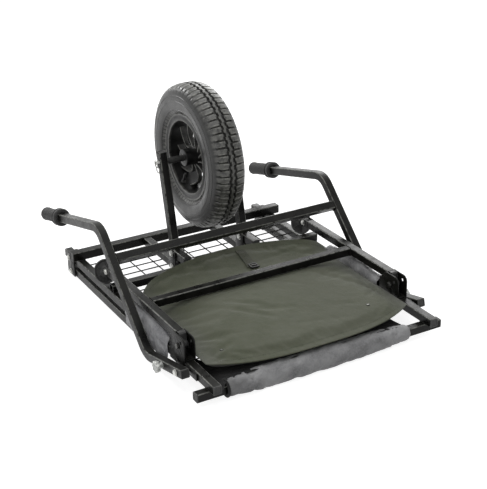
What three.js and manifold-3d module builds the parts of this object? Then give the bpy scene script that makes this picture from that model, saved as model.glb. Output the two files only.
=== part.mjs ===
// A folded fishing barrow, lying on its deck with the wheel standing up.
// Lengths are in millimetres and angles in degrees. +X is across the barrow, +Y runs
// from the handle end to the wheel end, +Z is up, and z = 0 is first the rails' top.
import * as THREE from 'three';
import { mergeGeometries, mergeVertices } from 'three/addons/utils/BufferGeometryUtils.js';
import Module from 'manifold-3d';

const wasm = await Module();
wasm.setup();

// Box section tube
const tubeSide = 22;
const tubeWall = 1.5;
const tubeCorner = 2.5;
const tubeCornerSteps = 1;

// Clearances
const weldGap = 0.3; // between pieces that are welded or seated
const runGap = 0.4; // round a shank or a shaft in its bore
const swingGap = 1.2; // beside a piece that swings past
const cutOverrun = 5; // how far a cutter passes its piece

// Fasteners
const boltRadius = 4;
const boltHeadRadius = 7;
const boltHeadThick = 4.5;
const nutThick = 5.5;
const boltSides = 8;
const hexSides = 6;
const capThick = 3;
const plugDepth = 12;
const plugWall = 0.4; // slack of a plug in its tube

// Main frame
const frameWidth = 622;
const railLength = 867;
const nearBarOverhang = 26.5; // past each rail
const nearBarSetback = 20;
const farBarSide = 25; // the far crossbar is of a larger tube
const farBarOverhang = 12;
const farBarSetback = 73;
const midBarY = 548;

// Wire deck under the rails
const deckFarSetback = 86; // from the rails' far ends
const deckNearMost = 160; // the deck starts past this
const deckPitchY = 36;
const deckPitchX = 54.2;
const deckShift = -8; // of the middle wire
const deckWire = 4;
const deckMargin = 4; // how far the wires stop short of the rails' outer faces

// Leg frame, folded over the rails
const legRise = 37; // from the rails' top to the legs' underside
const legLength = 389;
const legBarY = 353;
const legPivotY = 161;
const legPivotRise = 29;
const legStartReach = 16; // from the pivot to the tube
const knuckleWidth = 18;
const knuckleRadius = 10;
const knucklePlug = 22;
const legPlateThick = 3.4;
const legPlateNearReach = 33; // from the pivot to the plates' ends
const legPlateFarReach = 45;
const legPlateStop = 1; // the plates end this far above the deck
const legPlateTop = 57;
const legPlateRound = 15;
const legPlateRoundSteps = 4;
const legPlateChamfer = 24;
const legLockReach = 15; // nearer than the pivot
const legLockRise = 42;
const legLockRadius = 4.5;

// Swivelling feet
const footPivotReach = 10; // past the end of the leg tube
const footTilt = -25;
const footDrop = 34;
const footRadius = 33;
const footThick = 8;
const footLip = 6;
const footNeckRadius = 9;
const footForkThick = 3;
const footSides = 24;
const footNeckSides = 12;

// Handles
const handleSideGap = 10.6; // from the rail's outer face to the handle tube
const handlePivotReach = 9.4; // nearer than the leg plates
const handlePivotDrop = 11.7;
const handleTail = 25.3;
const handleLowerLength = 177.5;
const handleLowerAngle = -13;
const handleMidLength = 349;
const handleMidAngle = 43.8;
const handleTopLength = 397;
const handleTopAngle = -14.6;
const handleBendRadius = 52;
const handleBendSteps = 5;
const handleBarTyreGap = 24.2; // from the crossbar to the tyre, as the handles swing past
const gripLength = 125;
const gripRadius = 18.5;
const gripCollarRadius = 24;
const gripCollarThick = 9;
const gripEndWall = 4;
const gripRibs = 6;
const gripRibDepth = 1.2;
const gripSides = 16;
const handlePlateReach = 56; // towards the near end, from the leg plates
const handlePlateTop = -2;

// Star knobs that clamp the handles
const knobReach = 73; // from the handle pivot along the tube
const knobRadius = 15;
const knobThick = 11;
const knobLobes = 7;
const knobLobeDepth = 2.4;
const knobBossRadius = 7;
const knobStand = 9; // boss length between tube and star
const knobSteps = 28;

// Folding guard under the rails
const guardDrop = 36; // from the rails' top to the guard's top
const guardNearY = 420;
const guardFarSetback = 29; // from the rails' far ends
const guardPivotSetback = 49;
const guardPlateThick = 3.4;
const guardPlateBarGap = 1; // to the far crossbar
const guardPlateFarSetback = 24;
const guardFootGap = 1.5; // the plates stay off the floor

// Fork that carries the wheel
const forkHalfWidth = 114; // to the outer faces
const forkRise = 37; // from the rails' top to the fork base
const forkBaseReach = 30; // nearer than the middle crossbar
const forkRake = 11.7;
const forkFootReach = 44.5; // past the middle crossbar, where leg and base centre lines meet
const forkLegTop = 27; // past the axle
const forkPlateThick = 3.4;
const forkPlateInset = 2;
const forkPlateNearReach = 26.5; // from the leg's foot to the plates' ends
const forkPlateFarReach = 13.5;

// Axle and wheel
const axleRise = 286;
const axleRadius = 6;
const axleHeadRadius = 10;
const axleHeadThick = 4;
const axleTail = 8;
const axleSides = 12;
const spacerRadius = 8.5;
const clipWire = 1.6;
const clipRing = 8;
const clipOpening = 25;
const clipHoleOffset = 4; // from the fork leg to the clip's pin
const clipPinTop = 5; // past the axle
const clipPinDrop = 11; // from the axle's middle to the ring
const clipSteps = 14;
const tyreRadius = 194;
const tyreHalfWidth = 47.5;
const tyreWall = 6;
const tyreBeadHalf = 31.5;
const tyreGrooveDepth = 4;
const tyreGrooveHalf = 2.4;
const tyreGrooveOffset = 12;
const tyreFlangeGap = 1.8; // outside the rim's flange
const tyreSeatGap = 2.2; // inside the rim's flange
const tyreSides = 40;
const rimFlangeHeight = 17; // over the barrel
const rimFlangeHalf = 38;
const rimBarrelRadius = 97;
const rimBarrelWall = 4;
const rimLip = 3.5;
const rimSides = 40;
const hubRadius = 23;
const hubHalf = 44;
const hubSides = 16;
const spokeCount = 10;
const spokeThick = 5;
const spokeHalf = 12;
const spokeBow = 26;
const spokeSteps = 4;
const bearingRadius = 14;
const bearingThick = 9;
const valveRadius = 3.2;
const valveLength = 30;
const valveSide = 24; // off the wheel's middle plane
const valveTurn = -62;

// Fabric bag slung between the rails
const bagNearY = 23;
const bagForkGap = 80; // from the bag's far corners to the fork base
const bagFarBow = 86;
const bagSideGap = 6; // to each rail
const bagCorner = 62; // how far the near edge is drawn back at the rails
const bagCornerPower = 3;
const bagDeckGap = 0.9;
const bagEdgeTop = 8;
const bagLegGap = 3; // from the bag's crown to the leg frame
const bagFlapTop = 52;
const bagColumns = 16;
const bagRows = 10;
const bagEdgeThick = 4;
const bagCrownShare = 0.95; // of a half wave, along the bag
const bagFlapShare = 0.74; // where the flap starts to rise
const bagCrownPower = 3;
const bagFlapPower = 16;
const bagSidePlateGap = 10; // from the leg plates to the bag's sides
const bagSideBarGap = 75; // from the bag's sides to the middle crossbar
const bagSideCloth = 6;
const bagSideTop = 30;
const bagSideDrop = 42;
const bagSideSteps = 8;

// Padded roll on the near crossbar
const rollLeftGap = 27; // to the rails
const rollRightGap = 45;
const rollRadius = 29;
const rollEndRadius = 19;
const rollBoreGap = 0.6;
const rollStartShare = 0.06; // the left end is a little way up the swell
const rollSwellPower = 0.6;
const rollSides = 20;
const rollStations = 9;

// Strap and buckle on the bag
const strapX = 40;
const strapWidth = 25;
const strapThick = 1.6;
const strapNearReach = 14; // nearer than the bag's far corners
const strapFarReach = 66; // past the bag's far corners
const strapSteps = 5;
const buckleLength = 34;
const buckleWidth = 32;
const buckleThick = 6;

// Places worked out from the sizes above
const half = tubeSide / 2;
const bore = half - tubeWall;
const railX = (frameWidth - tubeSide) / 2;
const railOuterX = frameWidth / 2;
const railInnerX = railOuterX - tubeSide;
const railMidZ = -half;
const nearBarY = nearBarSetback + half;
const nearBarZ = -tubeSide - weldGap - half;
const farBarHalf = farBarSide / 2;
const farBarY = railLength - farBarSetback - farBarHalf;
const nearBarLength = frameWidth + 2 * nearBarOverhang;
const farBarLength = frameWidth + 2 * farBarOverhang;
const upperZ = weldGap + half;
const deckFarY = railLength - deckFarSetback;
const deckRows = Math.floor((deckFarY - deckWire - deckNearMost) / deckPitchY);
const deckReachX = railOuterX - deckMargin;
const deckWiresLeft = Math.floor((deckReachX + deckShift) / deckPitchX);
const deckWiresRight = Math.floor((deckReachX - deckShift) / deckPitchX);
const legZ = legRise + half;
const legStartY = legPivotY + legStartReach;
const legEndY = legStartY + legLength;
const legPlateNearY = legPivotY - legPlateNearReach;
const legPlateFarY = legPivotY + legPlateFarReach;
const legPlateDrop = tubeSide - legPlateStop;
const legLockY = legPivotY - legLockReach;
const footPivotY = legEndY + footPivotReach;
const handleX = railOuterX + handleSideGap + half;
const handlePivotY = legPlateNearY - handlePivotReach;
const guardZ = -guardDrop - half;
const floorZ = -guardDrop - tubeSide;
const guardFarY = railLength - guardFarSetback;
const guardPivotY = railLength - guardPivotSetback;
const guardPlateNearY = farBarY + farBarHalf + guardPlateBarGap;
const guardPlateFarY = railLength - guardPlateFarSetback;
const forkX = forkHalfWidth - half;
const forkZ = forkRise + half;
const forkBaseNearY = midBarY - forkBaseReach;
const forkFootY = midBarY + forkFootReach;
const forkPlateNearY = forkFootY - forkPlateNearReach;
const forkPlateFarY = forkFootY + forkPlateFarReach;
const rake = THREE.MathUtils.degToRad(forkRake);
const axleY = forkFootY + (axleRise - forkZ) * Math.tan(rake);
const clipX = -forkHalfWidth - runGap - clipHoleOffset;
const rimFlangeRadius = rimBarrelRadius + rimBarrelWall + rimFlangeHeight;
const tyreBeadRadius = rimBarrelRadius + rimBarrelWall + weldGap;
const bagHalfWidth = railInnerX - bagSideGap;
const bagCornerFarY = forkBaseNearY - bagForkGap;
const bagFloor = tubeSide + weldGap - bagDeckGap;
const bagCrown = legRise - bagEdgeTop - bagLegGap;
const bagSideNear = legPlateFarY + bagSidePlateGap;
const bagSideFar = midBarY - half - bagSideBarGap;
const strapNearY = bagCornerFarY - strapNearReach;
const strapFarY = bagCornerFarY + strapFarReach;
const rollLeftX = rollLeftGap - railInnerX;
const rollRightX = railInnerX - rollRightGap;
const shankBore = boltRadius + runGap;

const steelPaint = { color: 0x1c1d1d, roughness: 0.38, metalness: 0.4 };
const blackPlastic = { color: 0x141414, roughness: 0.55, metalness: 0 };
const zincSteel = { color: 0xb9bcbf, roughness: 0.3, metalness: 0.9 };
const rubber = { color: 0x2b2b2b, roughness: 0.75, metalness: 0 };
const olive = { color: 0x5d624f, roughness: 0.9, metalness: 0 };
const coatedCloth = { color: 0x8d8f93, roughness: 0.7, metalness: 0 };
const whiteMetal = { color: 0xd4d6d6, roughness: 0.35, metalness: 0.3 };

const sides = [['left', -1], ['right', 1]];

function addMesh(group, name, geometry, finish) {
  const mesh = new THREE.Mesh(geometry, new THREE.MeshStandardMaterial(finish));
  mesh.name = name;
  group.add(mesh);
  return mesh;
}

// Joining and cutting
function toSolid(geometry) {
  const bare = geometry.clone();
  bare.deleteAttribute('normal');
  bare.deleteAttribute('uv');
  const merged = mergeVertices(bare);
  return new wasm.Manifold(new wasm.Mesh({
    numProp: 3,
    vertProperties: new Float32Array(merged.attributes.position.array),
    triVerts: new Uint32Array(merged.index.array),
  }));
}

function toGeometry(solid) {
  const mesh = solid.getMesh();
  const geometry = new THREE.BufferGeometry();
  geometry.setAttribute('position', new THREE.BufferAttribute(new Float32Array(mesh.vertProperties), 3));
  geometry.setIndex(new THREE.BufferAttribute(new Uint32Array(mesh.triVerts), 1));
  geometry.computeVertexNormals();
  return geometry;
}

function join(...geometries) {
  return toGeometry(geometries.map(toSolid).reduce((whole, piece) => whole.add(piece)));
}

function cut(geometry, ...cutters) {
  const pieces = cutters.map(toSolid);
  return toGeometry(pieces.reduce((whole, piece) => whole.subtract(piece), toSolid(geometry)));
}

function trim(geometry, keeper) {
  return toGeometry(toSolid(geometry).intersect(toSolid(keeper)));
}

// Simple shapes
function block(x0, x1, y0, y1, z0, z1) {
  const geometry = new THREE.BoxGeometry(x1 - x0, y1 - y0, z1 - z0);
  return geometry.translate((x0 + x1) / 2, (y0 + y1) / 2, (z0 + z1) / 2);
}

function rodX(radius, x0, x1, y, z, count) {
  const low = Math.min(x0, x1);
  const high = Math.max(x0, x1);
  const geometry = new THREE.CylinderGeometry(radius, radius, high - low, count);
  return geometry.rotateZ(Math.PI / 2).translate((low + high) / 2, y, z);
}

function roundedSquare(side, corner, steps) {
  const reach = side / 2 - corner;
  const points = [];
  for (let quarter = 0; quarter < 4; quarter += 1) {
    const start = (quarter * Math.PI) / 2;
    const centreX = reach * (quarter === 0 || quarter === 3 ? 1 : -1);
    const centreY = reach * (quarter < 2 ? 1 : -1);
    for (let step = 0; step <= steps; step += 1) {
      const angle = start + (step / steps) * (Math.PI / 2);
      const x = centreX + corner * Math.cos(angle);
      points.push(new THREE.Vector2(x, centreY + corner * Math.sin(angle)));
    }
  }
  return points;
}

function tubeSection(side) {
  const section = new THREE.Shape(roundedSquare(side, tubeCorner, tubeCornerSteps));
  const inside = side / 2 - tubeWall;
  section.holes.push(new THREE.Path([
    new THREE.Vector2(-inside, -inside), new THREE.Vector2(-inside, inside),
    new THREE.Vector2(inside, inside), new THREE.Vector2(inside, -inside),
  ]));
  return section;
}

function tubeZ(length, side = tubeSide) {
  const section = tubeSection(side);
  const geometry = new THREE.ExtrudeGeometry(section, { depth: length, bevelEnabled: false });
  return geometry.translate(0, 0, -length / 2);
}

function tubeX(x0, x1, y, z, side = tubeSide) {
  return tubeZ(x1 - x0, side).rotateY(Math.PI / 2).translate((x0 + x1) / 2, y, z);
}

function tubeY(y0, y1, x, z) {
  return tubeZ(y1 - y0).rotateX(Math.PI / 2).translate(x, (y0 + y1) / 2, z);
}

// A plate in the YZ plane, from an outline of [y, z] places
function plateYZ(outline, holes, x, thick) {
  const shape = new THREE.Shape(outline.map(([y, z]) => new THREE.Vector2(y, z)));
  for (const [y, z, radius] of holes) {
    shape.holes.push(new THREE.Path().absarc(y, z, radius, 0, Math.PI * 2, true));
  }
  const geometry = new THREE.ExtrudeGeometry(shape, {
    depth: thick, bevelEnabled: false, curveSegments: boltSides / 2,
  });
  // Shape x becomes +Y, shape y becomes +Z and the depth becomes +X
  geometry.rotateY(Math.PI / 2).rotateX(Math.PI / 2);
  return geometry.translate(x - thick / 2, 0, 0);
}

// The inside half and the flange of a cap that closes a tube's end; the plug points along -Z
function endCap() {
  const plug = bore - plugWall;
  const flange = new THREE.ExtrudeGeometry(
    new THREE.Shape(roundedSquare(tubeSide, tubeCorner, tubeCornerSteps)),
    { depth: capThick, bevelEnabled: false },
  ).translate(0, 0, weldGap);
  return join(flange, block(-plug, plug, -plug, plug, -plugDepth, weldGap + capThick / 2));
}

function bolt(xHead, xNut, y, z) {
  const way = Math.sign(xHead - xNut);
  const head = rodX(boltHeadRadius, xHead, xHead + way * boltHeadThick, y, z, hexSides);
  const nut = rodX(boltHeadRadius, xNut, xNut - way * nutThick, y, z, hexSides);
  const shankHead = xHead + (way * boltHeadThick) / 2;
  const shankNut = xNut - (way * nutThick) / 2;
  const shank = rodX(boltRadius, shankHead, shankNut, y, z, boltSides);
  return join(head, shank, nut);
}

// Outer and inner seats of a bolt through the plates beside a rail
const legPlateOuterX = railOuterX + weldGap + legPlateThick / 2;
const legPlateInnerX = railInnerX - weldGap - legPlateThick / 2;
const legBoltOut = legPlateOuterX + legPlateThick / 2 + weldGap;
const legBoltIn = legPlateInnerX - legPlateThick / 2 - weldGap;
const guardPlateOuterX = railOuterX + swingGap + guardPlateThick / 2;
const guardPlateInnerX = railInnerX - swingGap - guardPlateThick / 2;

function makeRail(side) {
  const tube = tubeY(0, railLength, side * railX, railMidZ);
  const through = [side * (railInnerX - cutOverrun), side * (railOuterX + cutOverrun)];
  return cut(tube, rodX(shankBore, ...through, handlePivotY, -handlePivotDrop, boltSides));
}

// The deck's wires are what is left between its openings; the wires across end free under the rails
function makeDeck() {
  const halfWire = deckWire / 2;
  const firstY = deckFarY - halfWire - deckRows * deckPitchY;
  const top = -tubeSide - weldGap;
  const bottom = top - deckWire;
  const openings = [];
  for (let column = -deckWiresLeft - 1; column <= deckWiresRight; column += 1) {
    const x0 = Math.max(deckShift + column * deckPitchX + halfWire, -deckReachX - cutOverrun);
    const x1 = Math.min(deckShift + (column + 1) * deckPitchX - halfWire, deckReachX + cutOverrun);
    for (let row = 0; row < deckRows; row += 1) {
      const y = firstY + row * deckPitchY;
      openings.push(block(
        x0, x1, y + halfWire, y + deckPitchY - halfWire, bottom - cutOverrun, top + cutOverrun,
      ));
    }
  }
  const plate = block(-deckReachX, deckReachX, firstY - halfWire, deckFarY, bottom, top);
  return cut(plate, mergeGeometries(openings));
}

// One side plate of a leg bracket; the outer one reaches on to carry the handle's pivot
function legPlateOutline(reach) {
  const outline = [
    [legPlateNearY - reach, -legPlateDrop], [legPlateFarY, -legPlateDrop],
    [legPlateFarY, legPlateTop - legPlateChamfer], [legPlateFarY - legPlateChamfer, legPlateTop],
  ];
  for (let step = 0; step <= legPlateRoundSteps; step += 1) {
    const angle = Math.PI / 2 + ((step / legPlateRoundSteps) * Math.PI) / 2;
    outline.push([
      legPlateNearY + legPlateRound + legPlateRound * Math.cos(angle),
      legPlateTop - legPlateRound + legPlateRound * Math.sin(angle),
    ]);
  }
  if (reach > 0) {
    outline.push([legPlateNearY, handlePlateTop], [legPlateNearY - reach, handlePlateTop]);
  }
  return outline;
}

// Two plates beside a rail, joined by a web on the rail's top
function makeSaddle(side, outer, inner, y0, y1) {
  const [x0, x1] = side > 0 ? [legPlateInnerX, legPlateOuterX] : [-legPlateOuterX, -legPlateInnerX];
  return join(outer, inner, block(x0, x1, y0, y1, weldGap, weldGap + legPlateThick));
}

function makeLegBracket(side) {
  const pivot = [legPivotY, legPivotRise, shankBore];
  const lock = [legLockY, legLockRise, legLockRadius];
  const handle = [handlePivotY, -handlePivotDrop, shankBore];
  const reaching = legPlateOutline(handlePlateReach);
  const outer = plateYZ(reaching, [pivot, lock, handle], side * legPlateOuterX, legPlateThick);
  const inner = plateYZ(legPlateOutline(0), [pivot, lock], side * legPlateInnerX, legPlateThick);
  return makeSaddle(side, outer, inner, legPlateNearY, legPlateFarY);
}

function makeGuardBracket(side) {
  const bottom = floorZ + guardFootGap;
  const top = weldGap + guardPlateThick;
  const outline = [
    [guardPlateNearY, bottom], [guardPlateFarY, bottom], [guardPlateFarY, top], [guardPlateNearY, top],
  ];
  const holes = [[guardPivotY, guardZ, shankBore]];
  const outer = plateYZ(outline, holes, side * guardPlateOuterX, guardPlateThick);
  const inner = plateYZ(outline, holes, side * guardPlateInnerX, guardPlateThick);
  return makeSaddle(side, outer, inner, guardPlateNearY, guardPlateFarY);
}

function handlePlace(reach) {
  const angle = THREE.MathUtils.degToRad(handleLowerAngle);
  return [handlePivotY + reach * Math.cos(angle), -handlePivotDrop + reach * Math.sin(angle)];
}

function makeHandleSpacer(side) {
  const x0 = legPlateOuterX + legPlateThick / 2 + weldGap;
  const x1 = handleX - half - weldGap;
  const way = [side * (x0 - cutOverrun), side * (x1 + cutOverrun)];
  return cut(
    rodX(boltHeadRadius, side * x0, side * x1, handlePivotY, -handlePivotDrop, hubSides),
    rodX(shankBore, ...way, handlePivotY, -handlePivotDrop, boltSides),
  );
}

function makeFrame() {
  const group = new THREE.Group();
  const guardOut = guardPlateOuterX + guardPlateThick / 2 + weldGap;
  const guardIn = guardPlateInnerX - guardPlateThick / 2 - weldGap;
  const handleOut = handleX + half + runGap;
  for (const [name, side] of sides) {
    addMesh(group, `rail_${name}`, makeRail(side), steelPaint);
    addMesh(group, `leg_bracket_${name}`, makeLegBracket(side), steelPaint);
    const legBolt = bolt(side * legBoltOut, side * legBoltIn, legPivotY, legPivotRise);
    addMesh(group, `leg_pivot_bolt_${name}`, legBolt, zincSteel);
    const handleIn = railInnerX - weldGap;
    const handleBolt = bolt(side * handleOut, side * handleIn, handlePivotY, -handlePivotDrop);
    addMesh(group, `handle_pivot_bolt_${name}`, handleBolt, zincSteel);
    addMesh(group, `handle_spacer_${name}`, makeHandleSpacer(side), blackPlastic);
    addMesh(group, `guard_bracket_${name}`, makeGuardBracket(side), steelPaint);
    const guardBolt = bolt(side * guardOut, side * guardIn, guardPivotY, guardZ);
    addMesh(group, `guard_pivot_bolt_${name}`, guardBolt, zincSteel);
    const forkRail = tubeY(midBarY + half + weldGap, farBarY - farBarHalf - weldGap, side * forkX, upperZ);
    addMesh(group, `fork_rail_${name}`, forkRail, steelPaint);
    const turn = (side * Math.PI) / 2;
    const cap = endCap().rotateY(turn).translate((side * nearBarLength) / 2, nearBarY, nearBarZ);
    addMesh(group, `near_crossbar_cap_${name}`, cap, blackPlastic);
  }
  const nearBar = tubeX(-nearBarLength / 2, nearBarLength / 2, nearBarY, nearBarZ);
  addMesh(group, 'near_crossbar', nearBar, steelPaint);
  const farBarZ = weldGap + farBarHalf;
  const farBar = tubeX(-farBarLength / 2, farBarLength / 2, farBarY, farBarZ, farBarSide);
  addMesh(group, 'far_crossbar', farBar, steelPaint);
  addMesh(group, 'mid_crossbar', tubeX(-railOuterX, railOuterX, midBarY, upperZ), steelPaint);
  addMesh(group, 'deck_mesh', makeDeck(), steelPaint);
  return group;
}

// Fork: each side is a raked leg welded on a short base, held over its fork rail by a bracket
function makeForkSide(side) {
  const length = (axleRise - forkZ) / Math.cos(rake) + forkLegTop + cutOverrun;
  const leg = tubeZ(length);
  leg.translate(0, 0, length / 2).rotateX(-rake).translate(side * forkX, forkFootY, forkZ);
  const keepLow = forkRise + tubeSide - tubeWall;
  const keep = block(-frameWidth, frameWidth, 0, railLength, keepLow, axleRise + forkLegTop);
  const base = tubeY(forkBaseNearY, forkFootY + half, side * forkX, forkZ);
  const holeIn = forkHalfWidth - tubeSide - cutOverrun;
  const holeOut = forkHalfWidth + cutOverrun;
  const axleHole = rodX(axleRadius + runGap, side * holeIn, side * holeOut, axleY, axleRise, axleSides);
  return cut(join(trim(leg, keep), base), axleHole);
}

function makeForkBracket(side) {
  const inX = forkHalfWidth - tubeSide - weldGap - forkPlateThick;
  const outX = forkHalfWidth + weldGap + forkPlateThick;
  const low = weldGap + forkPlateInset;
  const high = forkRise + tubeSide - forkPlateInset;
  const webTop = forkRise - weldGap;
  const place = (x0, x1, z0, z1) => block(
    Math.min(side * x0, side * x1), Math.max(side * x0, side * x1), forkPlateNearY, forkPlateFarY, z0, z1,
  );
  return join(
    place(inX, inX + forkPlateThick, low, high), place(outX - forkPlateThick, outX, low, high),
    place(inX, outX, webTop - forkPlateThick, webTop),
  );
}

// The clip's ring is open at its side
class ClipCurve extends THREE.Curve {
  getPoint(t) {
    const open = THREE.MathUtils.degToRad(clipOpening);
    const angle = open + t * (Math.PI * 2 - 2 * open);
    return new THREE.Vector3(0, clipRing * Math.cos(angle), clipRing * Math.sin(angle));
  }
}

function makeAxle() {
  const out = forkHalfWidth + runGap;
  const shaft = rodX(axleRadius, -out - axleTail, out + axleHeadThick / 2, axleY, axleRise, axleSides);
  const head = rodX(axleHeadRadius, out, out + axleHeadThick, axleY, axleRise, axleSides);
  const hole = clipWire + runGap;
  const pinHole = new THREE.CylinderGeometry(hole, hole, axleHeadRadius * 2, boltSides);
  pinHole.rotateX(Math.PI / 2).translate(clipX, axleY, axleRise);
  return cut(join(shaft, head), pinHole);
}

// The clip's pin goes down through the axle's tail, and its ring hangs under the axle
function makeClip() {
  const section = new THREE.Shape().absarc(0, 0, clipWire, 0, Math.PI * 2, false);
  const ring = new THREE.ExtrudeGeometry(section, {
    steps: clipSteps, extrudePath: new ClipCurve(), curveSegments: boltSides / 2,
  });
  ring.translate(clipX, axleY, axleRise - clipPinDrop - clipRing);
  const top = axleRadius + clipPinTop;
  const pin = new THREE.CylinderGeometry(clipWire, clipWire, top + clipPinDrop, boltSides);
  pin.rotateX(Math.PI / 2).translate(clipX, axleY, axleRise + (top - clipPinDrop) / 2);
  return join(ring, pin);
}

function makeSpacer(side) {
  const x0 = hubHalf + runGap;
  const x1 = forkHalfWidth - tubeSide - runGap;
  const way = [side * (x0 - cutOverrun), side * (x1 + cutOverrun)];
  return cut(
    rodX(spacerRadius, side * x0, side * x1, axleY, axleRise, hubSides),
    rodX(axleRadius + runGap, ...way, axleY, axleRise, axleSides),
  );
}

// Wheel pieces turn about X through the axle
function turnX(profile, count) {
  const points = profile.map(([radius, x]) => new THREE.Vector2(radius, x));
  return new THREE.LatheGeometry(points, count).rotateZ(-Math.PI / 2);
}

const tyreProfileShares = [
  // share of the height over the rim's flange, share of the half width
  [0.12, 0.93], [0.4, 1], [0.68, 0.89], [0.86, 0.68], [0.96, 0.42],
];

function tyreOuter() {
  const low = rimFlangeRadius + tyreFlangeGap;
  const above = tyreProfileShares.map(([up, out]) => [low + up * (tyreRadius - low), out * tyreHalfWidth]);
  const seat = rimFlangeHalf - rimLip - tyreSeatGap;
  return [[tyreBeadRadius, seat], [low, seat], ...above];
}

function makeTyre() {
  const outer = tyreOuter();
  const crown = [];
  for (const centre of [tyreGrooveOffset, -tyreGrooveOffset]) {
    crown.push([tyreRadius, centre + tyreGrooveHalf]);
    crown.push([tyreRadius - tyreGrooveDepth, centre], [tyreRadius, centre - tyreGrooveHalf]);
  }
  const other = outer.map(([radius, x]) => [radius, -x]).reverse();
  const innerRadius = tyreRadius - tyreGrooveDepth - tyreWall;
  const innerHalf = tyreHalfWidth - tyreWall;
  const inside = [];
  for (let step = 0; step <= spokeSteps; step += 1) {
    const angle = Math.PI * (step / spokeSteps);
    const height = innerRadius - tyreBeadRadius;
    inside.push([
      tyreBeadRadius + height * (1 / 2 + (1 / 2) * Math.sin(angle)),
      -innerHalf * Math.cos(angle),
    ]);
  }
  const beadInner = tyreBeadHalf - tyreWall;
  const profile = [
    ...outer, ...crown, ...other,
    [tyreBeadRadius, -beadInner], ...inside, [tyreBeadRadius, beadInner],
  ];
  profile.push(profile[0]);
  return turnX(profile.reverse(), tyreSides);
}

function makeSpoke() {
  const inner = hubRadius - spokeThick;
  const outer = rimBarrelRadius + rimBarrelWall / 2;
  const near = [];
  const far = [];
  for (let step = 0; step <= spokeSteps; step += 1) {
    const share = step / spokeSteps;
    const along = inner + (outer - inner) * share;
    const bow = spokeBow * Math.sin(Math.PI * share);
    near.push(new THREE.Vector2(bow - spokeThick / 2, along));
    far.unshift(new THREE.Vector2(bow + spokeThick / 2, along));
  }
  const blade = new THREE.ExtrudeGeometry(
    new THREE.Shape([...near, ...far].reverse()), { depth: 2 * spokeHalf, bevelEnabled: false },
  );
  return blade.translate(0, 0, -spokeHalf).rotateY(Math.PI / 2);
}

function makeRim() {
  const barrel = rimBarrelRadius + rimBarrelWall;
  const tyreSide = rimFlangeHalf - rimLip;
  const profile = [
    [rimBarrelRadius, -rimFlangeHalf], [rimFlangeRadius, -rimFlangeHalf],
    [rimFlangeRadius, -tyreSide], [barrel, -tyreSide],
    [barrel, tyreSide], [rimFlangeRadius, tyreSide],
    [rimFlangeRadius, rimFlangeHalf], [rimBarrelRadius, rimFlangeHalf],
    [rimBarrelRadius, -rimFlangeHalf],
  ];
  const ring = turnX(profile, rimSides);
  const hub = rodX(hubRadius, -hubHalf, hubHalf, 0, 0, hubSides);
  const spokes = [];
  for (let index = 0; index < spokeCount; index += 1) {
    spokes.push(makeSpoke().rotateX((index / spokeCount) * Math.PI * 2));
  }
  const wayHalf = hubHalf + cutOverrun;
  const axleWay = rodX(axleRadius + runGap * 2, -wayHalf, wayHalf, 0, 0, axleSides);
  const seatInside = hubHalf - bearingThick - weldGap;
  const seats = sides.map(([, side]) => rodX(
    bearingRadius + weldGap, side * seatInside, side * (hubHalf + cutOverrun), 0, 0, hubSides,
  ));
  return cut(join(ring, hub, ...spokes), axleWay, ...seats);
}

function makeBearing(side) {
  const inside = hubHalf - bearingThick;
  return cut(
    rodX(bearingRadius, side * inside, side * hubHalf, 0, 0, hubSides),
    rodX(axleRadius + runGap, side * (inside - cutOverrun), side * (hubHalf + cutOverrun), 0, 0, axleSides),
  );
}

function makeWheel() {
  const wheel = new THREE.Group();
  wheel.position.set(0, axleY, axleRise);
  addMesh(wheel, 'tyre', makeTyre(), rubber);
  const stem = new THREE.CylinderGeometry(valveRadius, valveRadius, valveLength, boltSides);
  stem.translate(0, rimBarrelRadius - weldGap - valveLength / 2, 0);
  stem.rotateX(THREE.MathUtils.degToRad(valveTurn)).translate(-valveSide, 0, 0);
  addMesh(wheel, 'valve_stem', stem, rubber);
  addMesh(wheel, 'rim', makeRim(), blackPlastic);
  for (const [name, side] of sides) {
    addMesh(wheel, `hub_bearing_${name}`, makeBearing(side), zincSteel);
  }
  return wheel;
}

function makeFork() {
  const group = new THREE.Group();
  for (const [name, side] of sides) {
    addMesh(group, `fork_${name}`, makeForkSide(side), steelPaint);
    addMesh(group, `fork_bracket_${name}`, makeForkBracket(side), steelPaint);
    addMesh(group, `axle_spacer_${name}`, makeSpacer(side), blackPlastic);
  }
  addMesh(group, 'axle', makeAxle(), zincSteel);
  addMesh(group, 'axle_clip', makeClip(), zincSteel);
  return group;
}

// Legs
function makeKnuckle(side) {
  const x0 = side * railX - knuckleWidth / 2;
  const x1 = side * railX + knuckleWidth / 2;
  const plug = bore - plugWall;
  const eye = rodX(knuckleRadius, x0, x1, legPivotY, legPivotRise, hubSides);
  const neckTop = legZ + half;
  const neck = block(x0, x1, legPivotY, legStartY - weldGap, legPivotRise, neckTop);
  const tongue = block(
    side * railX - plug, side * railX + plug, legStartY - capThick, legStartY + knucklePlug,
    legZ - plug, legZ + plug,
  );
  const hole = rodX(shankBore, x0 - cutOverrun, x1 + cutOverrun, legPivotY, legPivotRise, boltSides);
  return cut(join(eye, neck, tongue), hole);
}

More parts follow.
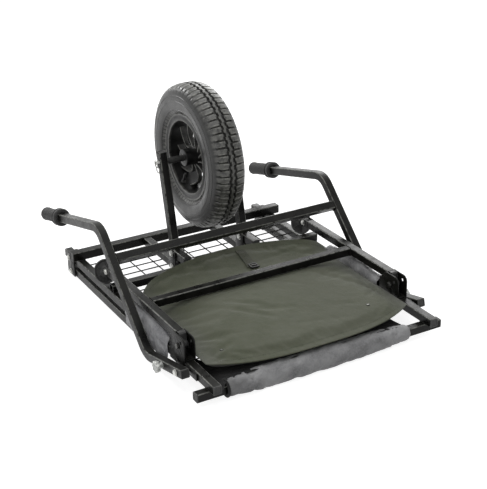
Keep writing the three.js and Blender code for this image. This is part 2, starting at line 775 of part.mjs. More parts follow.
// A dished mud foot on a neck between two ears; it hangs from its bolt
function makeFoot() {
  const ear = bore - footForkThick - runGap;
  const profile = [
    [0, -footDrop], [footRadius - footLip, -footDrop], [footRadius, -footDrop + footLip / 2],
    [footRadius, -footDrop + footLip], [footRadius - footThick / 2, -footDrop + footLip],
    [footRadius - footThick, -footDrop + footLip / 2], [footNeckRadius + footLip, -footDrop + footLip],
    [footNeckRadius, -footDrop + 2 * footLip],
    [footNeckRadius, -footNeckRadius / 2], [0, -footNeckRadius / 2],
  ].map(([radius, height]) => new THREE.Vector2(radius, height));
  const dish = new THREE.LatheGeometry(profile, footSides);
  const boss = rodX(footNeckRadius, -ear, ear, 0, 0, footNeckSides);
  const neckKeep = block(-ear, ear, -footDrop + footLip, footNeckRadius, -footNeckRadius, footNeckRadius);
  const plate = block(-footRadius, footRadius, -footDrop, -footDrop + 2 * footLip, -footRadius, footRadius);
  const trimmed = toGeometry(toSolid(dish).intersect(toSolid(neckKeep).add(toSolid(plate))));
  const hole = rodX(shankBore, -tubeSide, tubeSide, 0, 0, boltSides);
  return cut(join(trimmed, boss), hole);
}

// The leg tube's end is slotted into two ears that hold the foot
function makeLegTube(side) {
  const tube = tubeY(legStartY, footPivotY + half, side * railX, legZ);
  const slot = block(
    side * railX - bore, side * railX + bore, legEndY - half, footPivotY + half + cutOverrun,
    legZ - half - cutOverrun, legZ + half + cutOverrun,
  );
  const x0 = side * railX - half - cutOverrun;
  const x1 = side * railX + half + cutOverrun;
  return cut(tube, slot, rodX(shankBore, x0, x1, footPivotY, legZ, boltSides));
}

function makeLegs() {
  const group = new THREE.Group();
  for (const [name, side] of sides) {
    addMesh(group, `leg_tube_${name}`, makeLegTube(side), steelPaint);
    addMesh(group, `leg_knuckle_${name}`, makeKnuckle(side), blackPlastic);
    const foot = addMesh(group, `foot_${name}`, makeFoot(), blackPlastic);
    foot.position.set(side * railX, footPivotY, legZ);
    foot.rotation.x = Math.PI + THREE.MathUtils.degToRad(footTilt);
    const footBolt = bolt(side * (railOuterX + weldGap), side * (railInnerX - weldGap), footPivotY, legZ);
    addMesh(group, `foot_bolt_${name}`, footBolt, zincSteel);
  }
  const innerX = railInnerX - weldGap;
  addMesh(group, 'leg_crossbar', tubeX(-innerX, innerX, legBarY, legZ), steelPaint);
  return group;
}

// Handles
// A path in the YZ plane with a section at each of its own stations and nowhere else
class StationPath extends THREE.Curve {
  constructor(stations) {
    super();
    this.stations = stations;
  }

  stationAt(t) {
    return this.stations[Math.round(t * (this.stations.length - 1))];
  }

  getPointAt(t) {
    const { y, z } = this.stationAt(t);
    return new THREE.Vector3(0, y, z);
  }

  getTangentAt(t) {
    const { angle } = this.stationAt(t);
    return new THREE.Vector3(0, Math.cos(angle), Math.sin(angle));
  }
}

function handleStations() {
  const runs = [
    [handleTail + handleLowerLength, handleLowerAngle], [handleMidLength, handleMidAngle],
    [handleTopLength, handleTopAngle],
  ].map(([length, degrees]) => ({ length, angle: THREE.MathUtils.degToRad(degrees) }));
  let [y, z] = handlePlace(-handleTail);
  const stations = [{ y, z, angle: runs[0].angle }];
  runs.forEach(({ length, angle }, index) => {
    const before = index > 0 ? angle - runs[index - 1].angle : 0;
    const after = index < runs.length - 1 ? runs[index + 1].angle - angle : 0;
    const bends = Math.tan(Math.abs(before) / 2) + Math.tan(Math.abs(after) / 2);
    const straight = length - handleBendRadius * bends;
    y += straight * Math.cos(angle);
    z += straight * Math.sin(angle);
    stations.push({ y, z, angle });
    if (after !== 0) {
      const way = Math.sign(after);
      const centreY = y - way * handleBendRadius * Math.sin(angle);
      const centreZ = z + way * handleBendRadius * Math.cos(angle);
      for (let step = 1; step <= handleBendSteps; step += 1) {
        const turned = angle + (after * step) / handleBendSteps;
        y = centreY + way * handleBendRadius * Math.sin(turned);
        z = centreZ - way * handleBendRadius * Math.cos(turned);
        stations.push({ y, z, angle: turned });
      }
    }
  });
  return stations;
}

const handleRoute = handleStations();
const handleEnd = handleRoute[handleRoute.length - 1];

function makeHandleTube(side) {
  const tube = new THREE.ExtrudeGeometry(tubeSection(tubeSide), {
    steps: handleRoute.length - 1, extrudePath: new StationPath(handleRoute),
  });
  tube.translate(side * handleX, 0, 0);
  const way = [side * (handleX - half - cutOverrun), side * (handleX + half + cutOverrun)];
  const [knobY, knobZ] = handlePlace(knobReach);
  return cut(
    tube, rodX(shankBore, ...way, handlePivotY, -handlePivotDrop, boltSides),
    rodX(shankBore, ...way, knobY, knobZ, boltSides),
  );
}

function makeGrip() {
  const profile = [[0, gripEndWall], [gripRadius - gripEndWall, gripEndWall], [gripRadius, 0]];
  const ribPitch = (gripLength - gripCollarThick * 3) / gripRibs;
  for (let rib = 0; rib < gripRibs; rib += 1) {
    const at = -ribPitch * (rib + 1 / 2);
    profile.push([gripRadius, at + ribPitch / 2], [gripRadius - gripRibDepth, at]);
  }
  const collarEnd = -gripLength;
  profile.push(
    [gripRadius, collarEnd + gripCollarThick * 2], [gripCollarRadius, collarEnd + gripCollarThick],
    [gripCollarRadius, collarEnd + gripEndWall / 2],
    [gripCollarRadius - gripEndWall / 2, collarEnd], [0, collarEnd],
  );
  const body = new THREE.LatheGeometry(
    profile.reverse().map(([radius, height]) => new THREE.Vector2(radius, height)), gripSides,
  );
  const socket = half + weldGap;
  return cut(body, block(-socket, socket, collarEnd - cutOverrun, weldGap, -socket, socket));
}

function makeStar() {
  const points = [];
  for (let step = 0; step < knobSteps; step += 1) {
    const angle = (step / knobSteps) * Math.PI * 2;
    const radius = knobRadius - knobLobeDepth * (1 / 2 - (1 / 2) * Math.cos(angle * knobLobes));
    points.push(new THREE.Vector2(radius * Math.cos(angle), radius * Math.sin(angle)));
  }
  return new THREE.ExtrudeGeometry(new THREE.Shape(points), { depth: knobThick, bevelEnabled: false });
}

// A knob's stud runs through the handle to press on the leg plate
function makeKnob(side) {
  const [y, z] = handlePlace(knobReach);
  const face = handleX + half + runGap;
  const star = makeStar().rotateY((side * Math.PI) / 2);
  star.translate(side * (face + knobStand), y, z);
  const boss = rodX(knobBossRadius, side * face, side * (face + knobStand + knobThick / 2), y, z, hubSides);
  const tip = legPlateOuterX + legPlateThick / 2 + weldGap;
  const stud = rodX(boltRadius, side * tip, side * (face + knobStand), y, z, boltSides);
  return join(star, boss, stud);
}

// The crossbar sits on the handles' middle run, at its gap to the tyre that stands behind it
function handleBarPlace() {
  const slope = THREE.MathUtils.degToRad(handleMidAngle);
  const run = new THREE.Vector2(Math.cos(slope), Math.sin(slope));
  const bend = new THREE.Vector2(...handlePlace(handleLowerLength));
  const toWheel = new THREE.Vector2(axleY, axleRise).sub(bend);
  const along = toWheel.dot(run);
  const away = Math.abs(toWheel.cross(run));
  const clear = tyreRadius + handleBarTyreGap + half;
  const reach = along - Math.sqrt(clear ** 2 - away ** 2);
  return [bend.x + reach * run.x, bend.y + reach * run.y];
}

function makeHandles() {
  const group = new THREE.Group();
  const angle = THREE.MathUtils.degToRad(handleTopAngle);
  for (const [name, side] of sides) {
    addMesh(group, `handle_tube_${name}`, makeHandleTube(side), steelPaint);
    const grip = addMesh(group, `grip_${name}`, makeGrip(), blackPlastic);
    grip.position.set(side * handleX, handleEnd.y, handleEnd.z);
    grip.rotation.x = angle;
    addMesh(group, `lock_knob_${name}`, makeKnob(side), whiteMetal);
  }
  const [y, z] = handleBarPlace();
  const reach = handleX - half - weldGap;
  const bar = tubeX(-reach, reach, 0, 0).rotateX(THREE.MathUtils.degToRad(handleMidAngle));
  addMesh(group, 'handle_crossbar', bar.translate(0, y, z), steelPaint);
  return group;
}

// Guard
function makeGuard() {
  const group = new THREE.Group();
  for (const [name, side] of sides) {
    const arm = tubeY(guardNearY, guardFarY, side * railX, guardZ);
    const way = [side * (railInnerX - cutOverrun), side * (railOuterX + cutOverrun)];
    const pivotHole = rodX(shankBore, ...way, guardPivotY, guardZ, boltSides);
    addMesh(group, `guard_arm_${name}`, cut(arm, pivotHole), steelPaint);
  }
  const innerX = railInnerX - weldGap;
  addMesh(group, 'guard_crossbar', tubeX(-innerX, innerX, guardNearY + half, guardZ), steelPaint);
  return group;
}

// Fabric
function bagFlap(along) {
  return Math.max(0, (along - bagFlapShare) / (1 - bagFlapShare));
}

// Height of the bag's top; across runs from -1 to 1 and along from 0 to 1
function bagTop(across, along) {
  const crown = (1 - Math.abs(across) ** bagCrownPower) * Math.sin(Math.PI * along * bagCrownShare);
  const lift = bagFlap(along) ** 2 * (1 - across ** bagFlapPower);
  return bagEdgeTop + bagCrown * crown + (bagFlapTop - bagEdgeTop) * lift;
}

function bagUnder(across, along) {
  const lift = Math.min(1, 2 * bagFlap(along)) * (1 - across ** bagFlapPower);
  const under = -bagFloor + (bagFlapTop - bagEdgeThick + bagFloor) * lift;
  return Math.min(under, bagTop(across, along) - bagEdgeThick);
}

// The bag's two ends at a share of its width
function bagEnds(across) {
  const near = bagNearY + bagCorner * Math.abs(across) ** bagCornerPower;
  return [near, bagCornerFarY + bagFarBow * (1 - across ** 2)];
}

function bagTopAt(x, y) {
  const across = x / bagHalfWidth;
  const [near, far] = bagEnds(across);
  return bagTop(across, (y - near) / (far - near));
}

// A lofted shell: rows run across the barrow, columns along it, top first and then underside
function makeBagBody() {
  const tops = [];
  const unders = [];
  for (let row = 0; row <= bagRows; row += 1) {
    for (let column = 0; column <= bagColumns; column += 1) {
      const across = (column / bagColumns) * 2 - 1;
      const along = row / bagRows;
      const [near, far] = bagEnds(across);
      const x = across * bagHalfWidth;
      const y = near + (far - near) * along;
      const top = bagTop(across, along);
      const atEdge = row % bagRows === 0 || column % bagColumns === 0;
      tops.push(x, y, top);
      unders.push(x, y, atEdge ? top - bagEdgeThick : bagUnder(across, along));
    }
  }
  const width = bagColumns + 1;
  const under = width * (bagRows + 1);
  const index = [];
  const quad = (a, b, c, d) => index.push(a, b, c, a, c, d);
  for (let row = 0; row < bagRows; row += 1) {
    const left = row * width;
    const right = left + bagColumns;
    for (let a = left; a < right; a += 1) {
      quad(a, a + 1, a + 1 + width, a + width);
      quad(under + a, under + a + width, under + a + 1 + width, under + a + 1);
    }
    quad(left, left + width, under + left + width, under + left);
    quad(right, under + right, under + right + width, right + width);
  }
  const farRow = bagRows * width;
  for (let column = 0; column < bagColumns; column += 1) {
    quad(under + column, under + column + 1, column + 1, column);
    const a = farRow + column;
    quad(a, a + 1, under + a + 1, under + a);
  }
  const geometry = new THREE.BufferGeometry();
  geometry.setAttribute('position', new THREE.Float32BufferAttribute([...tops, ...unders], 3));
  geometry.setIndex(index);
  geometry.computeVertexNormals();
  return geometry;
}

// The bag's side goes up inside the rail, over it and down its outer face
function makeBagSide(side) {
  const inner = railInnerX - weldGap * 2;
  const outer = railOuterX + weldGap * 2;
  const midX = (inner + outer) / 2;
  const over = (outer - inner) / 2 + bagSideCloth;
  const outline = [[outer, -bagSideDrop], [outer + bagSideCloth, -bagSideDrop], [outer + bagSideCloth, 0]];
  for (let step = 1; step < bagSideSteps; step += 1) {
    const angle = (step / bagSideSteps) * Math.PI;
    outline.push([midX + over * Math.cos(angle), bagSideTop * Math.sin(angle)]);
  }
  outline.push([inner - bagSideCloth / 2, weldGap * 2], [outer, weldGap * 2]);
  const shape = new THREE.Shape(outline.map(([x, z]) => new THREE.Vector2(side * x, z)));
  const length = bagSideFar - bagSideNear;
  const geometry = new THREE.ExtrudeGeometry(shape, { depth: length, bevelEnabled: false });
  return geometry.rotateX(Math.PI / 2).translate(0, bagSideFar, 0);
}

// How far the roll swells from its end radius, by the share of its length from the left
function rollSwell(share) {
  const along = rollStartShare + share * (1 - rollStartShare);
  return Math.sin(Math.PI * along) ** rollSwellPower;
}

function makeRoll() {
  const boreRadius = Math.hypot(half, half - tubeCorner) + rollBoreGap;
  const profile = [[boreRadius, rollLeftX]];
  for (let station = 0; station <= rollStations; station += 1) {
    const share = station / rollStations;
    const radius = rollEndRadius + (rollRadius - rollEndRadius) * rollSwell(share);
    profile.push([radius, rollLeftX + (rollRightX - rollLeftX) * share]);
  }
  profile.push([boreRadius, rollRightX], [boreRadius, rollLeftX]);
  const roll = turnX(profile, rollSides).translate(0, nearBarY, nearBarZ);
  const keep = block(-frameWidth, frameWidth, -railLength, railLength, floorZ, railLength);
  return trim(roll, keep);
}

// What lies on the bag is cut by the bag's own top, a little higher
function seatOnBag(geometry) {
  return cut(geometry, makeBagBody().translate(0, 0, weldGap));
}

function makeStrap() {
  const top = [];
  const under = [];
  for (let step = 0; step <= strapSteps; step += 1) {
    const y = strapNearY + ((strapFarY - strapNearY) * step) / strapSteps;
    const z = bagTopAt(strapX, y);
    under.push(new THREE.Vector2(y, z - strapThick));
    top.unshift(new THREE.Vector2(y, z + 2 * strapThick));
  }
  const shape = new THREE.Shape([...under, ...top]);
  const band = new THREE.ExtrudeGeometry(shape, { depth: strapWidth, bevelEnabled: false });
  band.rotateY(Math.PI / 2).rotateX(Math.PI / 2).translate(strapX - strapWidth / 2, 0, 0);
  return seatOnBag(band);
}

function makeBuckle() {
  const y1 = strapNearY - weldGap;
  const y0 = y1 - buckleLength;
  const z = bagTopAt(strapX, (y0 + y1) / 2);
  const x0 = strapX - buckleWidth / 2;
  return seatOnBag(block(x0, x0 + buckleWidth, y0, y1, z - buckleThick / 2, z + buckleThick));
}

function makeBag() {
  const group = new THREE.Group();
  addMesh(group, 'bag_body', makeBagBody(), olive);
  for (const [name, side] of sides) {
    addMesh(group, `bag_side_${name}`, makeBagSide(side), coatedCloth);
  }
  addMesh(group, 'bag_roll', makeRoll(), coatedCloth);
  addMesh(group, 'bag_strap', makeStrap(), olive);
  addMesh(group, 'bag_buckle', makeBuckle(), blackPlastic);
  return group;
}

// The whole barrow, moved so that the origin is under its middle, on the floor
const nearestY = Math.min(0, nearBarY - rollRadius);
const gripTilt = THREE.MathUtils.degToRad(-handleTopAngle);
const gripFaceRadius = gripRadius - gripEndWall;
const farthestY = handleEnd.y + gripEndWall * Math.cos(gripTilt) + gripFaceRadius * Math.sin(gripTilt);
const barrow = new THREE.Group();
barrow.add(makeFrame(), makeFork(), makeWheel(), makeLegs(), makeHandles(), makeGuard(), makeBag());
barrow.position.set(0, -(nearestY + farthestY) / 2, -floorZ);

export default barrow;
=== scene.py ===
import math

import bmesh
import bpy
from mathutils import Matrix, Vector, noise
from mathutils.bvhtree import BVHTree


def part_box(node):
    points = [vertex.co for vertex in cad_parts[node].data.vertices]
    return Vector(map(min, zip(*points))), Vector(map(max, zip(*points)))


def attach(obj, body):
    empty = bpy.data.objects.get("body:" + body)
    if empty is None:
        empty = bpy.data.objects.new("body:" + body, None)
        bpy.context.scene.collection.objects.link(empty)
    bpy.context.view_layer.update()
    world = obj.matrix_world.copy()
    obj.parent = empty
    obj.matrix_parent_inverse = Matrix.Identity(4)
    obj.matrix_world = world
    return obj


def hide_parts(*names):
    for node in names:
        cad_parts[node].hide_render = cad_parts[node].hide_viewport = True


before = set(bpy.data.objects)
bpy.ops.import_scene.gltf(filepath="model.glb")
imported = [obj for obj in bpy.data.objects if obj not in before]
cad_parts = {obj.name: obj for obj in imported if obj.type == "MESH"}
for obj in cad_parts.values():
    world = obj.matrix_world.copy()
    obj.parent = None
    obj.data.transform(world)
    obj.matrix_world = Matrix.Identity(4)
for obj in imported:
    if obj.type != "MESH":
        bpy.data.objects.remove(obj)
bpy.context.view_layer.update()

mm = 0.001
sides = (("left", -1), ("right", 1))
acrossAxis, alongAxis, upAxis = Vector((1, 0, 0)), Vector((0, 1, 0)), Vector((0, 0, 1))
railLow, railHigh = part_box("rail_left")
print("frame loaded,", len(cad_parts), "nodes")


# Shapes are drawn in millimetres: x across the barrow, y from the rails' handle ends, z over the rails
def toScene(p):
    return Vector((p[0] * mm, railLow.y + p[1] * mm, railHigh.z + p[2] * mm))


def toBarrow(p):
    return Vector((p.x / mm, (p.y - railLow.y) / mm, (p.z - railHigh.z) / mm))


# Low corner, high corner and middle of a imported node
def spanOf(nodeName):
    low, high = (toBarrow(corner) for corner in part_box(nodeName))
    return low, high, (low + high) / 2


def middleOf(nodeName):
    return spanOf(nodeName)[2]


cameraSettings = dict(place=(-1343.7, -2002.2, 1363.0), yaw=29.18, pitch=24.35, tilt=1.235,
                      focal=1185.3, frameWidth=487, sensor=36, clipEnd=50)


def makeCamera(s):
    yaw, pitch, tilt = (math.radians(s[k]) for k in ("yaw", "pitch", "tilt"))
    forward = Vector((math.sin(yaw) * math.cos(pitch), math.cos(yaw) * math.cos(pitch), -math.sin(pitch)))
    level = Vector((math.cos(yaw), -math.sin(yaw), 0))
    down = forward.cross(level)
    right = level * math.cos(tilt) + down * math.sin(tilt)
    down = down * math.cos(tilt) - level * math.sin(tilt)
    data = bpy.data.cameras.new("camera")
    data.sensor_fit = "HORIZONTAL"
    data.sensor_width = s["sensor"]
    data.lens = s["focal"] / s["frameWidth"] * s["sensor"]
    data.clip_end = s["clipEnd"]
    camera = bpy.data.objects.new("camera", data)
    turn = Matrix((right, -down, -forward)).transposed().to_4x4()
    camera.matrix_world = Matrix.Translation(toScene(s["place"])) @ turn
    bpy.context.scene.collection.objects.link(camera)
    bpy.context.scene.camera = camera


makeCamera(cameraSettings)
print("camera set")


# Shader building
def put(tree, kind, inputs=None, **settings):
    made = tree.nodes.new(kind)
    for key, value in settings.items():
        setattr(made, key, value)
    for socket, value in (inputs or {}).items():
        if isinstance(value, bpy.types.NodeSocket):
            tree.links.new(value, made.inputs[socket])
        else:
            made.inputs[socket].default_value = value
    return made


def maths(tree, operation, a, b=0.0, c=0.0, clamp=False):
    return put(tree, "ShaderNodeMath", {0: a, 1: b, 2: c}, operation=operation, use_clamp=clamp).outputs[0]


def noiseOf(tree, place, scale, detail, rough=0.5):
    return put(tree, "ShaderNodeTexNoise",
               {"Vector": place, "Scale": scale, "Detail": detail, "Roughness": rough}).outputs[0]


def between(tree, value, low, high, outLow=0.0, outHigh=1.0):
    made = put(tree, "ShaderNodeMapRange", {0: value, 1: low, 2: high, 3: outLow, 4: outHigh},
               interpolation_type="SMOOTHSTEP")
    return made.outputs[0]


def mixColour(tree, factor, a, b):
    return put(tree, "ShaderNodeMix", {0: factor, 6: a, 7: b}, data_type="RGBA").outputs[2]


def newGroup(name, inputs, outputs):
    group = bpy.data.node_groups.new(name, "ShaderNodeTree")
    for label, value in inputs:
        socket = group.interface.new_socket(label, in_out="INPUT", socket_type="NodeSocketFloat")
        socket.default_value = value
    for label in outputs:
        group.interface.new_socket(label, in_out="OUTPUT", socket_type="NodeSocketFloat")
    return group, group.nodes.new("NodeGroupInput"), group.nodes.new("NodeGroupOutput")


effectShape = dict(fineDetail=2.0, broadDetail=4.0, toneSpan=(0.3, 0.7), dustDetail=5.0,
                   dustSpan=(0.3, 0.75), dustFacing=2.0, wearDetail=6.0, wearRough=0.65,
                   wearSpan=(0.28, 0.62), slubDetail=5.0, slubRough=0.6, dustRoughness=0.25,
                   clothDustScale=30.0, sheenRoughness=0.45, rubbedPatches=0.6)


def makeGrainGroup(s):
    group, given, result = newGroup("fine grain", (("Scale", 800.0), ("Broad Scale", 25.0)),
                                    ("Height", "Tone"))
    place = put(group, "ShaderNodeTexCoord").outputs["Object"]
    fine = noiseOf(group, place, given.outputs["Scale"], s["fineDetail"])
    broad = noiseOf(group, place, given.outputs["Broad Scale"], s["broadDetail"])
    group.links.new(fine, result.inputs["Height"])
    group.links.new(between(group, broad, *s["toneSpan"]), result.inputs["Tone"])
    return group


def makeDustGroup(s):
    group, given, result = newGroup("settled dust", (("Amount", 0.3), ("Scale", 40.0)), ("Mask",))
    coords = put(group, "ShaderNodeTexCoord")
    facing = put(group, "ShaderNodeSeparateXYZ", {0: coords.outputs["Normal"]}).outputs[2]
    lying = maths(group, "POWER", maths(group, "MAXIMUM", facing), s["dustFacing"])
    patchy = noiseOf(group, coords.outputs["Object"], given.outputs["Scale"], s["dustDetail"])
    spread = between(group, patchy, *s["dustSpan"])
    mask = maths(group, "MULTIPLY", maths(group, "MULTIPLY", lying, spread), given.outputs["Amount"])
    group.links.new(mask, result.inputs["Mask"])
    return group


def edgeOf(tree):
    return put(tree, "ShaderNodeAttribute", attribute_name="edge").outputs["Fac"]


# Lightens edges in patches: wear, and on dark finishes a painted highlight along the edges
def makeWearAndHighlightGroup(s):
    group, given, result = newGroup("edge wear", (("Amount", 0.5), ("Scale", 60.0)), ("Mask",))
    place = put(group, "ShaderNodeTexCoord").outputs["Object"]
    rubbed = noiseOf(group, place, given.outputs["Scale"], s["wearDetail"], s["wearRough"])
    spots = maths(group, "MULTIPLY", edgeOf(group), between(group, rubbed, *s["wearSpan"]))
    mask = maths(group, "MULTIPLY", spots, given.outputs["Amount"], clamp=True)
    group.links.new(mask, result.inputs["Mask"])
    return group


def makeWeaveGroup(s):
    group, given, result = newGroup("cloth weave", (("Threads", 9000.0), ("Slub", 140.0)), ("Height", "Tone"))
    place = put(group, "ShaderNodeTexCoord").outputs["Object"]
    axes = put(group, "ShaderNodeSeparateXYZ", {0: place})
    waves = [maths(group, "SINE", maths(group, "MULTIPLY", axes.outputs[i], given.outputs["Threads"]))
             for i in range(3)]
    flat = maths(group, "MULTIPLY", waves[0], waves[1])
    upright = maths(group, "MULTIPLY", waves[2], maths(group, "ADD", waves[0], waves[1]))
    height = maths(group, "MULTIPLY_ADD", maths(group, "ADD", flat, upright), 0.25, 0.5)
    slub = noiseOf(group, place, given.outputs["Slub"], s["slubDetail"], s["slubRough"])
    group.links.new(height, result.inputs["Height"])
    group.links.new(between(group, slub, *s["toneSpan"]), result.inputs["Tone"])
    return group


grainGroup, dustGroup = makeGrainGroup(effectShape), makeDustGroup(effectShape)
wearGroup, weaveGroup = makeWearAndHighlightGroup(effectShape), makeWeaveGroup(effectShape)


def useGroup(tree, group, **values):
    inputs = {" ".join(part.capitalize() for part in key.split("_")): value for key, value in values.items()}
    return put(tree, "ShaderNodeGroup", inputs, node_tree=group).outputs


def newMaterial(name):
    material = bpy.data.materials.new(name)
    material.use_nodes = True
    tree = material.node_tree
    shader = next(n for n in tree.nodes if n.type == "BSDF_PRINCIPLED")
    return material, tree, shader


def bumpFrom(tree, height, strength, distance, **more):
    return put(tree, "ShaderNodeBump",
               {"Height": height, "Strength": strength, "Distance": distance, **more}).outputs[0]


def colour(red, green, blue):
    # from 0-255 picture values to light values
    return tuple((c / 255 / 12.92) if c <= 10 else ((c / 255 + 0.055) / 1.055) ** 2.4
                 for c in (red, green, blue)) + (1.0,)


def connect(tree, shader, **outputs):
    for socket, value in outputs.items():
        tree.links.new(value, shader.inputs["Base Color" if socket == "Colour" else socket])


# What most finishes share; colours are 0-255 values
hardPlain = dict(grain=1800.0, broad=60.0, bump=0.15, bumpDepth=0.0003, wearScale=200.0, dust=0.1,
                 dustScale=80.0, dustColour=(120, 118, 110), metal=0.0)
clothPlain = dict(fadeShare=0.3, threads=9800.0, slub=320.0, crumple=95.0, broad=20.0, threadShare=0.3,
                  bump=0.25, bumpDepth=0.0003, crumpleBump=0.55, crumpleDepth=0.004, dust=0.05,
                  dustColour=(126, 124, 108), sheen=0.1)
webbingPlain = dict(slub=400.0, crumple=200.0, broad=40.0, rough=(0.7, 0.85), bumpDepth=0.0008,
                    crumpleBump=0.1, crumpleDepth=0.001, shine=0.3)


# A hard surface: two tones under fine grain, edges lightened as wear and as painted highlight, and a little
# dust
def hardFinish(name, slot, **own):
    s = {**hardPlain, **own}
    material, tree, shader = newMaterial(name)
    grain = useGroup(tree, grainGroup, scale=s["grain"], broad_scale=s["broad"])
    wear = useGroup(tree, wearGroup, amount=s["wear"], scale=s["wearScale"])["Mask"]
    dust = useGroup(tree, dustGroup, amount=s["dust"], scale=s["dustScale"])["Mask"]
    base = mixColour(tree, grain["Tone"], colour(*s["dark"]), colour(*s["light"]))
    # edges take the light edge colour, as wear and as painted highlight
    worn = mixColour(tree, wear, base, colour(*s["bare"]))
    rough = between(tree, grain["Tone"], 0.0, 1.0, *s["rough"])
    dusty = maths(tree, "MULTIPLY", dust, effectShape["dustRoughness"])
    connect(tree, shader, Colour=mixColour(tree, dust, worn, colour(*s["dustColour"])),
            Roughness=maths(tree, "ADD", rough, dusty, clamp=True),
            Normal=bumpFrom(tree, grain["Height"], s["bump"], s["bumpDepth"]))
    shader.inputs["Metallic"].default_value = s["metal"]
    shader.inputs["Specular IOR Level"].default_value = s["shine"]
    return dict(material=material, slot=slot)


# A woven surface: threads in the bump, slubs in the colour, and a faint sheen
def clothFinish(name, slot, **own):
    s = {**clothPlain, **own}
    material, tree, shader = newMaterial(name)
    weave = useGroup(tree, weaveGroup, threads=s["threads"], slub=s["slub"])
    grain = useGroup(tree, grainGroup, scale=s["crumple"], broad_scale=s["broad"])
    dust = useGroup(tree, dustGroup, amount=s["dust"], scale=effectShape["clothDustScale"])["Mask"]
    base = mixColour(tree, weave["Tone"], colour(*s["dark"]), colour(*s["light"]))
    faded = maths(tree, "MULTIPLY", grain["Tone"], s["fadeShare"])
    base = mixColour(tree, faded, base, colour(*s["faded"]))
    threaded = maths(tree, "MULTIPLY", weave["Height"], s["threadShare"])
    base = mixColour(tree, threaded, base, colour(*s["thread"]))
    base = mixColour(tree, dust, base, colour(*s["dustColour"]))
    # marked points take a further tone in patches: grey towards the bag's rails, darker at the roll's left
    # end
    if "rubbed" in s:
        patches = effectShape["rubbedPatches"]
        patchy = maths(tree, "MULTIPLY_ADD", grain["Tone"], patches, 1 - patches)
        base = mixColour(tree, maths(tree, "MULTIPLY", edgeOf(tree), patchy, clamp=True), base,
                         colour(*s["rubbed"]))
    threads = bumpFrom(tree, weave["Height"], s["bump"], s["bumpDepth"])
    connect(tree, shader, Colour=base, Roughness=between(tree, weave["Tone"], 0.0, 1.0, *s["rough"]),
            Normal=bumpFrom(tree, grain["Height"], s["crumpleBump"], s["crumpleDepth"], Normal=threads))
    shader.inputs["Sheen Weight"].default_value = s["sheen"]
    shader.inputs["Sheen Roughness"].default_value = effectShape["sheenRoughness"]
    shader.inputs["Specular IOR Level"].default_value = s["shine"]
    return dict(material=material, slot=slot)


# Its light edge lines are partly wear and partly painted highlight on the tube corners
blackPaint = hardFinish(
    "black paint", "black_paint", dark=(12, 12, 11), light=(21, 21, 19), bare=(150, 151, 145),
    rough=(0.26, 0.38), grain=1400.0, broad=35.0, bump=0.12, bumpDepth=0.0004, wear=0.85,
    wearScale=70.0, dustScale=30.0, dustColour=(100, 100, 92), shine=0.16)
zincSteel = hardFinish(
    "zinc plated steel", "zinc_steel", dark=(150, 151, 150), light=(205, 205, 200),
    bare=(225, 225, 220), rough=(0.22, 0.4), broad=160.0, wear=0.6, metal=0.9, shine=0.5)
darkSteel = hardFinish(
    "blackened steel", "zinc_steel", dark=(34, 34, 33), light=(58, 58, 56), bare=(120, 120, 116),
    rough=(0.35, 0.5), broad=160.0, wear=0.5, dustColour=(110, 108, 100), metal=0.6, shine=0.5)
dullSteel = hardFinish(
    "dull plated steel", "zinc_steel", dark=(112, 114, 104), light=(140, 142, 130),
    bare=(170, 170, 160), rough=(0.4, 0.55), broad=160.0, wear=0.4, metal=0.4, shine=0.4)
blackPlastic = hardFinish(
    "moulded black plastic", "black_plastic", dark=(22, 22, 22), light=(36, 36, 35),
    bare=(92, 92, 90), rough=(0.42, 0.58), grain=2400.0, bump=0.25, bumpDepth=0.0004, wear=0.45,
    wearScale=120.0, dust=0.2, dustScale=60.0, dustColour=(110, 110, 104), shine=0.45)
gripRubber = hardFinish(
    "grip rubber", "grip_rubber", dark=(30, 30, 30), light=(50, 50, 49), bare=(84, 84, 84),
    rough=(0.5, 0.66), grain=3000.0, broad=120.0, bump=0.4, bumpDepth=0.0006, wear=0.3,
    wearScale=150.0, dust=0.15, dustScale=90.0, dustColour=(96, 96, 92), shine=0.4)
# Its lighter block edges and tread tops are partly scuffs and partly painted highlight
tyreRubber = hardFinish(
    "tyre rubber", "tyre_rubber", dark=(25, 25, 24), light=(40, 40, 38), bare=(158, 158, 152),
    rough=(0.28, 0.4), grain=2200.0, broad=45.0, bump=0.3, bumpDepth=0.0005, wear=1.0,
    wearScale=90.0, dustScale=50.0, dustColour=(104, 102, 96), shine=0.5)
# Its light edges on spokes and flange are painted highlight
rimPlastic = hardFinish(
    "wheel plastic", "black_plastic", dark=(11, 11, 11), light=(20, 20, 19), bare=(150, 150, 146),
    rough=(0.3, 0.44), grain=2400.0, bump=0.2, bumpDepth=0.0004, wear=1.0, wearScale=60.0,
    dust=0.08, dustScale=60.0, dustColour=(80, 80, 74), shine=0.25)
paleKnob = hardFinish(
    "pale moulded knob", "pale_knob", dark=(160, 162, 160), light=(192, 194, 190),
    bare=(226, 226, 222), rough=(0.24, 0.36), grain=1600.0, broad=150.0, bump=0.1, wear=0.4,
    wearScale=180.0, dust=0.12, dustScale=120.0, dustColour=(130, 128, 120), metal=0.35, shine=0.6)
oliveFabric = clothFinish(
    "olive polyester", "olive_fabric", dark=(69, 73, 57), light=(84, 88, 70), faded=(102, 104, 91),
    fadeShare=0.5, thread=(58, 62, 48), threadShare=0.35, threads=7600.0, slub=260.0, crumple=55.0,
    broad=7.0, rough=(0.72, 0.86), bump=0.35, bumpDepth=0.0004, crumpleBump=0.35, dust=0.06,
    rubbed=(104, 105, 101), sheen=0.12, shine=0.35)
